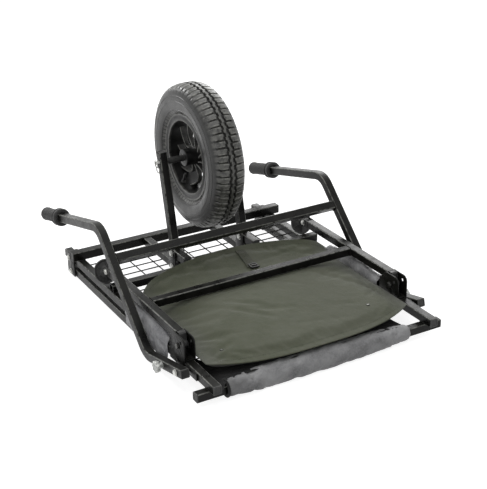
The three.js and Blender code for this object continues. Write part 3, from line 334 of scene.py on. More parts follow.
# A lighter copy of the grey lining: painted light for the left side, which hangs outside the rail
litGreyFabric = clothFinish(
    "coated grey lining painted lighter", "grey_fabric", dark=(98, 99, 101), light=(142, 142, 145),
    faded=(192, 192, 194), fadeShare=0.7, thread=(78, 78, 84), rough=(0.42, 0.6),
    dustColour=(130, 128, 122), shine=0.5)
rollFabric = clothFinish(
    "worn grey lining", "grey_fabric", dark=(92, 93, 93), light=(132, 132, 133),
    faded=(184, 184, 185), fadeShare=0.8, thread=(56, 56, 60), slub=220.0, crumple=80.0, broad=14.0,
    rough=(0.44, 0.62), bump=0.3, crumpleBump=0.6, dustColour=(120, 118, 112), rubbed=(38, 39, 36),
    shine=0.4)
# Near black: painted shade in the gap between the roll and the bag's hem
shadeLining = clothFinish(
    "lining painted as shade", "grey_fabric", dark=(12, 12, 12), light=(24, 24, 24), faded=(40, 40, 40),
    fadeShare=0.4, thread=(8, 8, 8), rough=(0.6, 0.75), dustColour=(60, 60, 58), sheen=0.05,
    shine=0.2)
oliveWebbing = clothFinish(
    "olive webbing", "olive_fabric", dark=(56, 59, 45), light=(72, 75, 58), faded=(86, 88, 72),
    thread=(38, 40, 30), threadShare=0.6, threads=3400.0, bump=0.7, sheen=0.15, **webbingPlain)
blackWebbing = clothFinish(
    "black webbing", "black_plastic", dark=(20, 20, 20), light=(32, 32, 32), faded=(44, 44, 44),
    thread=(8, 8, 8), threadShare=0.5, threads=3800.0, bump=0.6, dustColour=(100, 98, 90),
    **webbingPlain)
print("materials made")


# A shell is a dict of points, faces and marks, where a mark says how much a point lies on an outer edge
def loft(loops, marks=None, joined=False, capped=True):
    count = len(loops[0])
    rows = len(loops)
    faces = []
    for row in range(rows if joined else rows - 1):
        a, b = row * count, (row + 1) % rows * count
        faces += [(a + i, a + (i + 1) % count, b + (i + 1) % count, b + i) for i in range(count)]
    if capped and not joined:
        faces += [tuple(range(count))[::-1], tuple(range((rows - 1) * count, rows * count))]
    points = [p for loop in loops for p in loop]
    return dict(points=points, faces=faces, marks=list(marks or [0.0] * count) * rows)


corners = ((1, 1), (-1, 1), (-1, -1), (1, -1))


# The round-cornered square of a tube, and marks for its corners
def squareSpots(side, corner, steps=4):
    reach = side / 2 - corner
    spots, marks = [], []
    for quarter, (sx, sy) in enumerate(corners):
        for step in range(steps + 1):
            angle = (quarter + step / steps) * math.pi / 2
            spots.append((sx * reach + corner * math.cos(angle), sy * reach + corner * math.sin(angle)))
            marks.append(math.sin(step / steps * math.pi))
    return spots, marks


def ringAt(origin, across, up, spots):
    return [origin + across * x + up * y for x, y in spots]


tubeShape = dict(side=22, corner=2.8, wall=1.5)
halfTube = tubeShape["side"] / 2


# A hollow square tube through stations of (origin, across, up)
def squareTube(stations, wide=tubeShape["side"]):
    t = tubeShape
    outer, marks = squareSpots(wide, t["corner"])
    inner = squareSpots(wide - 2 * t["wall"], t["corner"] - t["wall"])[0]
    loops = [ringAt(*station, outer) for station in stations]
    loops += [ringAt(*station, inner) for station in reversed(stations)]
    return loft(loops, marks, joined=True)


def straightTube(nodeName, axis, start=None, end=None):
    low, high, centre = spanOf(nodeName)
    across, up = (alongAxis, upAxis) if axis == 0 else (acrossAxis, upAxis)
    stations = []
    for place in (low[axis] if start is None else start, high[axis] if end is None else end):
        origin = centre.copy()
        origin[axis] = place
        stations.append((origin, across, up))
    return squareTube(stations, high.z - low.z)


capShape = dict(corner=2.8, cornerShare=1 / 7, steps=((0, 0.3), (0, 2.0), (1.4, 3.1), (6.5, 3.1), (7.8, 2.2)))


# A moulded plug in the end of a tube
def endCap(origin, outward, up, wide=tubeShape["side"]):
    across = outward.cross(up)
    loops = []
    for inset, out in capShape["steps"]:
        side = wide - inset
        spots = squareSpots(side, min(capShape["corner"], side * capShape["cornerShare"]))[0]
        loops.append(ringAt(origin + outward * out, across, up, spots))
    shell = loft(loops)
    count = len(loops[0])
    shell["marks"] = [1.0 if count <= i < count * 3 else 0.0 for i in range(len(shell["points"]))]
    return shell


# A profile of (radius, distance along the axis) turned round the axis
def turned(profile, origin, axis, steps=48, joined=False, marks=None):
    axis = Vector(axis).normalized()
    across = axis.orthogonal().normalized()
    up = axis.cross(across)
    turns = [i / steps * math.tau for i in range(steps)]
    spots = [(math.cos(a), math.sin(a)) for a in turns]
    loops = [[origin + axis * out + (across * x + up * y) * radius for x, y in spots]
             for radius, out in profile]
    shell = loft(loops, joined=joined)
    if marks:
        shell["marks"] = [m for m in marks for _ in range(steps)]
    return shell


def rod(points, radius, sides=10, joined=False, capped=True):
    points = [Vector(p) for p in points]
    count = len(points)
    loops, normal = [], None
    for i, p in enumerate(points):
        ahead = points[(i + 1) % count] if joined else points[min(i + 1, count - 1)]
        behind = points[i - 1] if joined or i else points[0]
        tangent = (ahead - behind).normalized()
        normal = tangent.orthogonal() if normal is None else normal - tangent * normal.dot(tangent)
        normal.normalize()
        side = tangent.cross(normal)
        wide = radius[i] if isinstance(radius, (list, tuple)) else radius
        turns = [k / sides * math.tau for k in range(sides)]
        loops.append([p + (normal * math.cos(a) + side * math.sin(a)) * wide for a in turns])
    return loft(loops, joined=joined, capped=capped)


# A flat piece from an outline of (u, v), thick along w, with a small round at its edges
def slab(outline, origin, u, v, thick, edge):
    w = u.cross(v)
    centre = Vector((sum(p[0] for p in outline), sum(p[1] for p in outline))) / len(outline)
    steps = ((1.0, 0.0), (0.3, 0.3), (0.0, 1.0))
    levels = [(inset, -thick / 2 + edge * out) for inset, out in steps]
    levels += [(inset, thick / 2 - edge * out) for inset, out in reversed(steps)]
    loops = []
    for inset, out in levels:
        ring = []
        for a, b in outline:
            away = Vector((a, b)) - centre
            shrunk = centre + away * max(0.0, 1 - inset * edge / max(away.length, edge))
            ring.append(origin + u * shrunk.x + v * shrunk.y + w * out)
        loops.append(ring)
    shell = loft(loops)
    shell["marks"] = [m for m in (0.0, 1.0, 0.0, 0.0, 1.0, 0.0) for _ in outline]
    return shell


# A box with rounded edges
def softBox(low, high, radius, segments=3):
    low, high = Vector(low), Vector(high)
    made = bmesh.new()
    bmesh.ops.create_cube(made, size=1)
    for vert in made.verts:
        vert.co = Vector((low[i] + (high[i] - low[i]) * (vert.co[i] + 0.5) for i in range(3)))
    bmesh.ops.bevel(made, geom=made.edges[:], offset=radius, segments=segments, profile=0.5, affect="EDGES")
    made.verts.ensure_lookup_table()
    points = [v.co.copy() for v in made.verts]
    faces = [tuple(v.index for v in f.verts) for f in made.faces]
    marks = [min(1.0, (1 - max(abs(c) for c in v.normal)) * 3) for v in made.verts]
    made.free()
    return dict(points=points, faces=faces, marks=marks)


def arc(centre, radius, start, end, steps):
    turns = [math.radians(start + (end - start) * i / steps) for i in range(steps + 1)]
    return [(centre[0] + radius * math.cos(a), centre[1] + radius * math.sin(a)) for a in turns]


def meshOf(name, shells):
    points, faces, marks = [], [], []
    for shell in shells:
        base = len(points)
        points += [toScene(p) for p in shell["points"]]
        faces += [tuple(i + base for i in face) for face in shell["faces"]]
        marks += shell["marks"]
    mesh = bpy.data.meshes.new(name)
    mesh.from_pydata(points, [], faces)
    made = bmesh.new()
    made.from_mesh(mesh)
    bmesh.ops.recalc_face_normals(made, faces=made.faces)
    made.to_mesh(mesh)
    made.free()
    mesh.attributes.new("edge", "FLOAT", "POINT").data.foreach_set("value", marks)
    return mesh


def makePiece(name, body, finish, shells, stands=(), sharp=35, weighted=True):
    mesh = meshOf(name, shells)
    mesh.shade_smooth()
    mesh.set_sharp_from_angle(angle=math.radians(sharp))
    piece = bpy.data.objects.new(name, mesh)
    bpy.context.scene.collection.objects.link(piece)
    if weighted:
        piece.modifiers.new("weighted normals", "WEIGHTED_NORMAL").keep_sharp = True
    mesh.materials.append(finish["material"])
    if stands:
        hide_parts(*stands)
    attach(piece, body)
    return piece


# A straight tube that stands for its node, and the caps in its ends
def tubePiece(name, body, nodeName, axis):
    makePiece(name, body, blackPaint, [straightTube(nodeName, axis)], [nodeName])


def capsOf(nodeName, axis):
    low, high, middle = spanOf(nodeName)
    way = alongAxis if axis else acrossAxis
    caps = []
    for place, out in ((low, -way), (high, way)):
        origin = middle.copy()
        origin[axis] = place[axis]
        caps.append(endCap(origin, out, upAxis, high.z - low.z))
    return caps


# A ring for a piece that turns or lies along x, from a profile of (radius, distance from its low end)
def collarPiece(name, finish, nodeName, profile, steps):
    low, _, middle = spanOf(nodeName)
    place = Vector((low.x, middle.y, middle.z))
    makePiece(name, "frame", finish, [turned(profile, place, acrossAxis, steps)], [nodeName])


bevelShape = dict(merge=0.00002, segments=2)


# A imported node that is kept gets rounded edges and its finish
def dressNode(nodeName, finish, edge=0.7, sharp=30):
    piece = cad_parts[nodeName]
    weld = piece.modifiers.new("weld", "WELD")
    weld.merge_threshold = bevelShape["merge"]
    bevel = piece.modifiers.new("bevel", "BEVEL")
    bevel.width = edge * mm
    bevel.segments = bevelShape["segments"]
    bevel.angle_limit = math.radians(sharp)
    bevel.harden_normals = True
    piece.data.shade_smooth()
    piece.data.materials.clear()
    piece.data.materials.append(finish["material"])


# Weld seams: a rippled bead along a joint
weldShape = dict(radius=1.5, ripple=0.28, pitch=1.7, ending=0.5, endInset=0.6, lap=0.1)


def weldBead(start, end):
    w = weldShape
    start, end = Vector(start), Vector(end)
    count = max(3, int((end - start).length / (w["pitch"] / 4)))
    points = [start.lerp(end, i / count) for i in range(count + 1)]
    thick = [w["radius"] + w["ripple"] * math.sin(i * math.pi / 2) for i in range(count + 1)]
    thick[0] = thick[-1] = w["radius"] * w["ending"]
    return rod(points, thick, 8)


# Beads round a tube's end at a face, where u and v reach to its sides
def weldRing(origin, u, v):
    spots = [origin + u * a + v * b for a, b in corners]
    return [weldBead(spots[i - 1], spots[i]) for i in range(len(spots))]


# The end of a tube along x that is welded to a face at x
def weldEnd(x, centre, tilt=0.0):
    reach = halfTube - weldShape["endInset"]
    u = Vector((0, math.cos(tilt), math.sin(tilt))) * reach
    v = Vector((0, -math.sin(tilt), math.cos(tilt))) * reach
    return weldRing(Vector((x, centre.y, centre.z)), u, v)


# A crossbar that stands for its node, tilted about x, with beads at both ends
def makeWeldedBar(nodeName, body, tilt=0.0, beads=4):
    low, high, centre = spanOf(nodeName)
    across, up = Vector((0, math.cos(tilt), math.sin(tilt))), Vector((0, -math.sin(tilt), math.cos(tilt)))
    shells = [squareTube([(Vector((x, centre.y, centre.z)), across, up) for x in (low.x, high.x)])]
    for x in (low.x - weldShape["lap"], high.x + weldShape["lap"]):
        shells += weldEnd(x, centre, tilt)[:beads]
    makePiece(f"{nodeName}_tube", body, blackPaint, shells, [nodeName])


# Frame
frameShape = dict(crossLap=0.2, weldInset=1.5, ringInset=2.0)


def makeFrameTubes(s):
    railX, forkRail = middleOf("rail_right").x, middleOf("fork_rail_right")
    welds, caps = [], []
    for name, side in sides:
        tubePiece(f"rail_tube_{name}", "frame", f"rail_{name}", 1)
        caps += capsOf(f"rail_{name}", 1)
        tubePiece(f"fork_rail_tube_{name}", "frame", f"fork_rail_{name}", 1)
    for nodeName in ("near_crossbar", "far_crossbar", "mid_crossbar"):
        tubePiece(f"{nodeName}_tube", "frame", nodeName, 0)
        low, high = spanOf(nodeName)[:2]
        level = -tubeShape["side"] if nodeName == "near_crossbar" else s["crossLap"]
        reach, ringReach = halfTube - s["weldInset"], halfTube - s["ringInset"]
        for name, side in sides:
            for y in (low.y, high.y):
                welds.append(weldBead((side * railX - reach, y, level), (side * railX + reach, y, level)))
            if nodeName != "near_crossbar":
                inward = high.y if nodeName == "mid_crossbar" else low.y
                welds += weldRing(Vector((side * forkRail.x, inward, forkRail.z)),
                                  acrossAxis * ringReach, upAxis * ringReach)
    caps += capsOf("far_crossbar", 0)
    makePiece("frame_end_caps", "frame", blackPlastic, caps)
    for (name, side), cap in zip(sides, capsOf("near_crossbar", 0)):
        makePiece(f"near_crossbar_plug_{name}", "frame", blackPlastic, [cap], [f"near_crossbar_cap_{name}"])
    makePiece("frame_welds", "frame", blackPaint, welds, sharp=60)


makeFrameTubes(frameShape)

deckShape = dict(shift=-8, pitchX=54.2, columns=5, pitchY=36, rows=17, wire=1.75, layer=0.4, sides=12,
                 insetX=1, insetY=0.5, lastRow=2, clipRound=1.6,
                 clipLumps=(((-12, 628, -29), (1, 642, -13)), ((2, 632, -29), (15, 646, -15)),
                            ((-8, 633, -29.4), (12, 641, -24))))


# Wires welded in two layers, and a black clip that is snapped on to them
def makeDeck(s):
    low, high, middle = spanOf("deck_mesh")
    wires = []
    for column in range(-s["columns"], s["columns"] + 1):
        x, z = s["shift"] + column * s["pitchX"], middle.z - s["layer"]
        wires.append(rod([(x, low.y + s["insetY"], z), (x, high.y - s["insetY"], z)], s["wire"], s["sides"]))
    for row in range(s["rows"] + 1):
        y, z = high.y - s["lastRow"] - row * s["pitchY"], middle.z + s["layer"]
        wires.append(rod([(low.x + s["insetX"], y, z), (high.x - s["insetX"], y, z)], s["wire"], s["sides"]))
    makePiece("deck_wires", "frame", blackPaint, wires, ["deck_mesh"])
    makePiece("deck_clip", "frame", blackPlastic, [softBox(a, b, s["clipRound"]) for a, b in s["clipLumps"]])


makeDeck(deckShape)
print("frame and deck made")

# Profiles are (radius, distance out from the seat), but the collar is measured down from the nut's face
boltShape = dict(head=4.5, nut=5.5, hexRadius=7.0, hexShort=1.6, shank=4.0, chamfer=0.7, crown=0.1,
                 forkZ=(11.3, 48.0), guardY=830, guardZ=-11.0,
                 washer=((8.0, -0.2), (8.4, 0.1), (8.4, 1.0), (8.0, 1.3)),
                 collar=((5.9, 2.2), (5.7, 0.9), (5.0, 0.2), (4.0, 0.1)),
                 tip=((4.0, 0.2), (4.0, 4.7), (3.2, 5.5)))


def hexShell(origin, outward, thick, radius):
    outward = Vector(outward)
    across = outward.orthogonal().normalized()
    up = outward.cross(across)
    c, crown = boltShape["chamfer"], boltShape["crown"]
    rays = [across * math.cos(k * math.pi / 3) + up * math.sin(k * math.pi / 3) for k in range(6)]
    loops = [[origin + outward * out + ray * (radius - shrink) for ray in rays]
             for shrink, out in ((0.0, 0.0), (0.0, thick - c), (c, thick - crown), (c * 2, thick))]
    shell = loft(loops)
    shell["marks"] = [0.0] * 6 + [1.0] * 18
    return shell


# A bolt across the barrow: head at one end of its node, nut with its collar at the other
def boltShells(low, high, headSide):
    s = boltShape
    centre = (low + high) / 2
    headX, nutX = (high.x, low.x) if headSide > 0 else (low.x, high.x)
    way = acrossAxis * headSide
    headSeat = Vector((headX, centre.y, centre.z)) - way * s["head"]
    nutSeat = Vector((nutX, centre.y, centre.z)) + way * s["nut"]
    collar = [(radius, s["nut"] - down) for radius, down in s["collar"]]
    shank = ((s["shank"], 0), (s["shank"], abs(headX - nutX) - s["head"] - s["nut"]))
    return [hexShell(headSeat, way, s["head"], s["hexRadius"]),
            hexShell(nutSeat, -way, s["nut"] - s["hexShort"], s["hexRadius"]),
            turned(s["washer"], headSeat, way, 28), turned(s["washer"], nutSeat, -way, 28),
            turned(collar, nutSeat, -way, 24), turned(s["tip"], nutSeat, -way, 20),
            turned(shank, nutSeat, way, 20)]


def makeBolts(s):
    for stem, body, finish in (("leg_pivot_bolt", "frame", darkSteel),
                               ("handle_pivot_bolt", "frame", zincSteel),
                               ("guard_pivot_bolt", "frame", zincSteel), ("foot_bolt", "legs", zincSteel)):
        for name, side in sides:
            low, high = spanOf(f"{stem}_{name}")[:2]
            makePiece(f"{stem}_set_{name}", body, finish, boltShells(low, high, side), [f"{stem}_{name}"])
    # the fixed bolts of the fork brackets and guard brackets
    shells = []
    for name, side in sides:
        forkBracket, guardBracket = spanOf(f"fork_bracket_{name}"), spanOf(f"guard_bracket_{name}")
        places = [(forkBracket, forkBracket[2].y, z) for z in s["forkZ"]]
        for (low, high, _), y, z in places + [(guardBracket, s["guardY"], s["guardZ"])]:
            shells += boltShells(Vector((low.x - s["head"], y, z)), Vector((high.x + s["head"], y, z)), side)
    makePiece("bracket_bolts", "frame", zincSteel, shells)


makeBolts(boltShape)

spacerShape = dict(radius=7, edge=0.8, round=0.7)


def makeBrackets(s):
    for name, _ in sides:
        for stem in ("leg_bracket", "guard_bracket", "fork_bracket"):
            dressNode(f"{stem}_{name}", blackPaint)
        low, high = spanOf(f"handle_spacer_{name}")[:2]
        long = high.x - low.x
        profile = ((s["radius"] - s["edge"], 0), (s["radius"], s["round"]), (s["radius"], long - s["round"]),
                   (s["radius"] - s["edge"], long))
        collarPiece(f"handle_spacer_ring_{name}", blackPlastic, f"handle_spacer_{name}", profile, 32)


makeBrackets(spacerShape)
print("bolts and brackets made")


# Fork and axle
forkShape = dict(rake=11.7, footY=592.5, baseZ=48, low=57.5, seamInset=1.2, capInset=2.6)


def makeFork(s):
    lean = math.tan(math.radians(s["rake"]))
    stretch = 1 / math.cos(math.radians(s["rake"]))
    for name, _ in sides:
        low, high, middle = spanOf(f"fork_{name}")
        x, seat = middle.x, s["baseZ"] + halfTube

        def legAt(z):
            return s["footY"] + (z - s["baseZ"]) * lean

        leg = squareTube([(Vector((x, legAt(z), z)), acrossAxis, alongAxis * stretch)
                          for z in (s["low"], high.z)])
        base = squareTube([(Vector((x, y, s["baseZ"])), acrossAxis, upAxis)
                           for y in (low.y, s["footY"] + halfTube)])
        seam = weldRing(Vector((x, legAt(seat), seat)), acrossAxis * (halfTube - s["seamInset"]),
                        alongAxis * (halfTube * stretch))
        makePiece(f"fork_tubes_{name}", "frame", blackPaint, [leg, base] + seam, [f"fork_{name}"])
        caps = [endCap(Vector((x, legAt(high.z), high.z - s["capInset"])), upAxis, alongAxis),
                endCap(Vector((x, low.y + s["capInset"], s["baseZ"])), -alongAxis, upAxis)]
        makePiece(f"fork_plugs_{name}", "frame", blackPlastic, caps)


makeFork(forkShape)

# The clip's sprung leg is given by steps from the clip's plane and the axle
axleShape = dict(radius=6, headRadius=10, headThick=4, tipEdge=1, headEdge=0.6, headDome=(1.8, 1.6),
                 clipWire=1.6, clipRing=8.0, clipDrop=11.0, pinTop=5.0, pinLap=0.5, ringTurn=0.92,
                 ringSteps=28, legAway=3.2, legThin=0.9, spacerRound=0.8, spacerEdge=1,
                 legSteps=((0, 4, -12), (-2.0, 5, -4), (-2.6, 5, 2), (-1.4, 5, 8)))


def makeAxle(s):
    low, high = spanOf("axle")[:2]
    centre = middleOf("tyre")
    long, radius, wide = high.x - low.x, s["radius"], s["headRadius"]
    seat = long - s["headThick"]
    tipEdge, headEdge, (domeIn, domeDown) = s["tipEdge"], s["headEdge"], s["headDome"]
    shaft = ((radius - tipEdge, 0), (radius, tipEdge), (radius, seat), (wide - headEdge, seat),
             (wide, seat + headEdge), (wide, long - domeDown), (wide - domeIn, long))
    makePiece("axle_rod", "frame", zincSteel,
              [turned(shaft, Vector((low.x, centre.y, centre.z)), acrossAxis, 40)], ["axle"])
    x = middleOf("axle_clip").x
    ringZ = centre.z - s["clipDrop"] - s["clipRing"]
    pin = [(x, centre.y, centre.z + radius + s["pinTop"]),
           (x, centre.y, centre.z - s["clipDrop"] - s["pinLap"])]
    turns = [math.pi / 2 + i / s["ringSteps"] * (math.tau * s["ringTurn"]) for i in range(s["ringSteps"] + 1)]
    ring = [(x, centre.y + s["clipRing"] * math.cos(a), ringZ + s["clipRing"] * math.sin(a)) for a in turns]
    leg = [ring[-1]] + [(x - s["legAway"] + dx, centre.y + dy, centre.z + dz) for dx, dy, dz in s["legSteps"]]
    makePiece("axle_clip_wire", "frame", zincSteel,
              [rod(pin + ring[1:], s["clipWire"], 12), rod(leg, s["clipWire"] * s["legThin"], 12)],
              ["axle_clip"])
    for name, _ in sides:
        low, high = spanOf(f"axle_spacer_{name}")[:2]
        long, wide, turn = high.x - low.x, (high.z - low.z) / 2, s["spacerRound"]
        edge = wide - s["spacerEdge"]
        profile = ((edge, 0), (wide, turn), (wide, long - turn), (edge, long))
        collarPiece(f"axle_spacer_tube_{name}", blackPlastic, f"axle_spacer_{name}", profile, 40)


makeAxle(axleShape)
print("fork and axle made")

# Tyre: zigzag grooves beside a middle rib, and slanting grooves between the shoulder blocks.
# Profiles are (distance from the wheel's middle, radius), pitch shares are the tread's points in one pitch
tyreShape = dict(radius=194, crownFlat=6, crownReach=25, crownFall=0.3, crownBend=4.4, crownPower=2.2,
                 pitches=64, pitchShares=(-0.07, 0.07, 0.1, 0.25, 0.4, 0.43, 0.57, 0.6, 0.75, 0.9),
                 grooveDepth=6.0, ribHalf=4.2, grooveEnd=10.2, zigzag=3.0, blockEnd=41.0, blockDepth=5.0,
                 blockFade=6.0, blockGap=0.12, blockFloor=0.09, blockSlope=0.4, slant=0.16, slit=0.05,
                 slitDepth=1.6, shoulderFrom=30, shoulderIn=0.55, shoulderDown=0.6, scuffAndHighlight=0.3,
                 blockEdge=0.2, blockEdgeScuffAndHighlight=0.9,
                 shoulder=((35.0, 116.0), (37.0, 120.5), (40.5, 123.5), (44.0, 129.0), (46.3, 137.0),
                           (47.5, 149.0), (46.9, 160.0), (45.2, 169.0), (42.6, 176.5), (39.0, 182.5),
                           (35.0, 186.6), (31.0, 189.3)),
                 crown=(29, 26, 23, 20, 17, 14, 12, 10.6, 9.6, 8.6, 7.4, 6.2, 5.2, 4.4, 3.4, 2.0, 0.8),
                 inside=((30.0, 101.3), (25.5, 101.3), (27.0, 112.0), (38.0, 126.0), (41.5, 146.0),
                         (38.0, 166.0), (25.0, 180.0)), insideTop=184.0,
                 rings=((127.5, 43.4, 0.8), (151.0, 47.3, 0.7), (165.5, 45.9, 0.7)), ringSteps=160)


def treadRadius(x, s):
    away = max(0.0, abs(x) - s["crownFlat"]) / s["crownReach"]
    return s["radius"] - s["crownFall"] * away - s["crownBend"] * away ** s["crownPower"]


# How deep the tread is cut at a place, and how near a groove between blocks is
def treadCut(x, turn, s):
    out, way = abs(x), 1 if x > 0 else -1
    local = (turn + (0.5 if x > 0 else 0.0) + s["slant"] * (out / s["blockEnd"])) % 1.0
    nearGroove = min(local, 1 - local)
    wander = s["zigzag"] * max(-1.0, min(1.0, 2 * math.sin(turn * math.tau)))
    off = abs(out - (s["ribHalf"] + s["grooveEnd"]) / 2 - wander * way * 0.5)
    cut = 0.0
    if off < (s["grooveEnd"] - s["ribHalf"]) / 2:
        cut = s["grooveDepth"]
    elif s["grooveEnd"] < out < s["blockEnd"] and nearGroove < s["blockGap"]:
        fade = min(1.0, (s["blockEnd"] - out) / s["blockFade"])
        cut = s["blockDepth"] * fade * (1.0 if nearGroove < s["blockFloor"] else s["blockSlope"])
    elif out < s["ribHalf"] and nearGroove < s["slit"]:
        cut = s["slitDepth"]
    return cut, nearGroove


def makeTyre(s):
    centre = middleOf("tyre")
    half = list(s["shoulder"]) + [(x, treadRadius(x, s)) for x in s["crown"]]
    profile = [(-x, r) for x, r in half] + [(0.0, treadRadius(0, s))] + half[::-1]
    turns = sorted(pitch + share for pitch in range(s["pitches"]) for share in s["pitchShares"])
    angles = [turn / s["pitches"] * math.tau for turn in turns]
    rays = [(math.cos(a), math.sin(a)) for a in angles]
    loops, marks = [], []
    for x, radius in profile:
        ring, out = [], abs(x)
        for turn, (y, z) in zip(turns, rays):
            cut, nearGroove = treadCut(x, turn, s)
            reach, inward = radius - cut, 0.0
            if cut and out > s["shoulderFrom"]:
                reach, inward = radius - cut * s["shoulderDown"], cut * s["shoulderIn"]
            ring.append(centre + Vector((x - math.copysign(inward, x), reach * y, reach * z)))
            # tread tops get a light mark and block edges a stronger one: scuffs and painted highlight
            onBlock = s["grooveEnd"] < out < s["blockEnd"] and s["blockGap"] <= nearGroove < s["blockEdge"]
            marks.append(0.0 if cut or out > s["blockEnd"] else s["blockEdgeScuffAndHighlight"] if onBlock else s["scuffAndHighlight"])
        loops.append(ring)
    inside = list(s["inside"])
    for x, radius in inside + [(0.0, s["insideTop"])] + [(-x, r) for x, r in reversed(inside)]:
        loops.append([centre + Vector((x, radius * y, radius * z)) for y, z in rays])
        marks += [0.0] * len(turns)
    shell = loft(loops, joined=True)
    shell["marks"] = marks
    turns = [i / s["ringSteps"] * math.tau for i in range(s["ringSteps"])]
    rings = [rod([centre + Vector((side * x, radius * math.cos(a), radius * math.sin(a))) for a in turns],
                 thick, 6, joined=True) for _, side in sides for radius, x, thick in s["rings"]]
    makePiece("tyre_carcass", "wheel", tyreRubber, [shell] + rings, ["tyre"], sharp=42, weighted=False)


makeTyre(tyreShape)

# Profiles are (radius, distance from the wheel's middle), with a mark for wear and painted highlight on the
# flange
rimShape = dict(barrelRadius=97, hubRadius=23, hubHalf=44, boreRadius=6.8, boreHalf=34.7, spokes=10,
                spokeSteps=16, spokeThick=4.4, spokeHalf=8.5, spokeEnds=1.3, spokeWaist=0.6, spokeRoot=1.5,
                spokeLap=1.0, bow=26, edge=1.2, edgeRound=0.35,
                flange=((97, 30, 0), (97.4, 36.6, 0.4), (98.6, 37.7, 0.8), (101, 37.8, 0.3),
                        (106.5, 36.4, 0), (111.5, 36.5, 0), (114, 37.8, 0.6), (116, 38, 1),
                        (117.4, 37.2, 1), (118, 36, 0.8), (116.8, 34.7, 0.2), (112, 34.5, 0),
                        (102.5, 34.5, 0), (101, 32.5, 0)),
                hub=((14.4, 34.7), (14.4, 44), (20.5, 44), (22.2, 43.2), (23, 41.6), (23, 18)),
                bearing=((6.4, -9.0), (14.0, -9.0), (14.0, 0.0), (12.6, 0.0), (12.2, -0.6), (8.6, -0.6),
                         (8.2, 0.0), (6.4, 0.0)),
                stem=((6.5, -1), (6.5, 1.5), (3.4, 3.5), (3.2, 17), (2.7, 17.4), (2.7, 21), (3.6, 21.2),
                      (3.8, 29.5), (2.6, 30.2)), stemFoot=15)


# A bowed spoke whose broad side faces along the axle
def spokeShell(centre, a, s):
    along, bowWay = Vector((0, math.cos(a), math.sin(a))), Vector((0, math.sin(a), -math.cos(a)))
    inner, far = s["hubRadius"] - s["spokeRoot"], s["barrelRadius"] + s["spokeLap"]
    thick, edge = s["spokeThick"] / 2, s["edge"]
    insets = ((0, edge), (edge * s["edgeRound"], edge * s["edgeRound"]), (edge, 0))
    loops = []
    for step in range(s["spokeSteps"] + 1):
        share = step / s["spokeSteps"]
        slope = s["bow"] * math.pi * math.cos(math.pi * share) / (far - inner)
        rise = math.sin(math.pi * share)
        origin = centre + along * (inner + (far - inner) * share) + bowWay * (s["bow"] * rise)
        normal = (bowWay - along * slope).normalized()
        wide = s["spokeHalf"] * (s["spokeEnds"] - s["spokeWaist"] * rise)
        loops.append([origin + acrossAxis * (sx * (wide - dx)) + normal * (sy * (thick - dy))
                      for sx, sy in corners for dx, dy in insets[::sx * sy]])
    # the spoke's edges are marked for a painted highlight
    return loft(loops, marks=[1.0, 1.0, 0.2, 0.2, 1.0, 1.0] * 2)


def makeRim(s):
    centre = middleOf("tyre")
    profile = [(r, x) for r, x, _ in s["flange"]]
    marks = [mark for _, _, mark in s["flange"]]
    barrel = turned(profile + [(r, -x) for r, x in reversed(profile)], centre, acrossAxis, 120, joined=True,
                    marks=marks + marks[::-1])
    hub = list(s["hub"]) + [(r, -x) for r, x in reversed(s["hub"])]
    hub += [(s["boreRadius"], -s["boreHalf"]), (s["boreRadius"], s["boreHalf"])]
    shells = [barrel, turned(hub, centre, acrossAxis, 64, joined=True)]
    shells += [spokeShell(centre, index / s["spokes"] * math.tau, s) for index in range(s["spokes"])]
    makePiece("wheel_rim", "wheel", rimPlastic, shells, ["rim"])
    for name, side in sides:
        seat = centre + acrossAxis * (side * s["hubHalf"])
        makePiece(f"hub_bearing_ring_{name}", "wheel", darkSteel,
                  [turned(s["bearing"], seat, acrossAxis * side, 48, joined=True)], [f"hub_bearing_{name}"])
    root = middleOf("valve_stem")
    inward = Vector((0, centre.y - root.y, centre.z - root.z)).normalized()
    makePiece("valve", "wheel", gripRubber, [turned(s["stem"], root - inward * s["stemFoot"], inward, 24)],
              ["valve_stem"])


makeRim(rimShape)
print("wheel made")

# Legs and feet
legShape = dict(earStart=555, earEnd=587, earLap=3, earInset=0.4, earSide=0.8, earThick=1.6, earEdge=0.4,
                knuckleThick=18, knuckleEdge=1.0, topRound=1.5, shoulder=((4, 0), (0.8, -3), (0, -8)),
                neck=13, noseRadius=10, nose=(100, 330), heel=(10.5, -3), plug=(-4, 6), plugHalf=9.3,
                plugEdge=0.6)


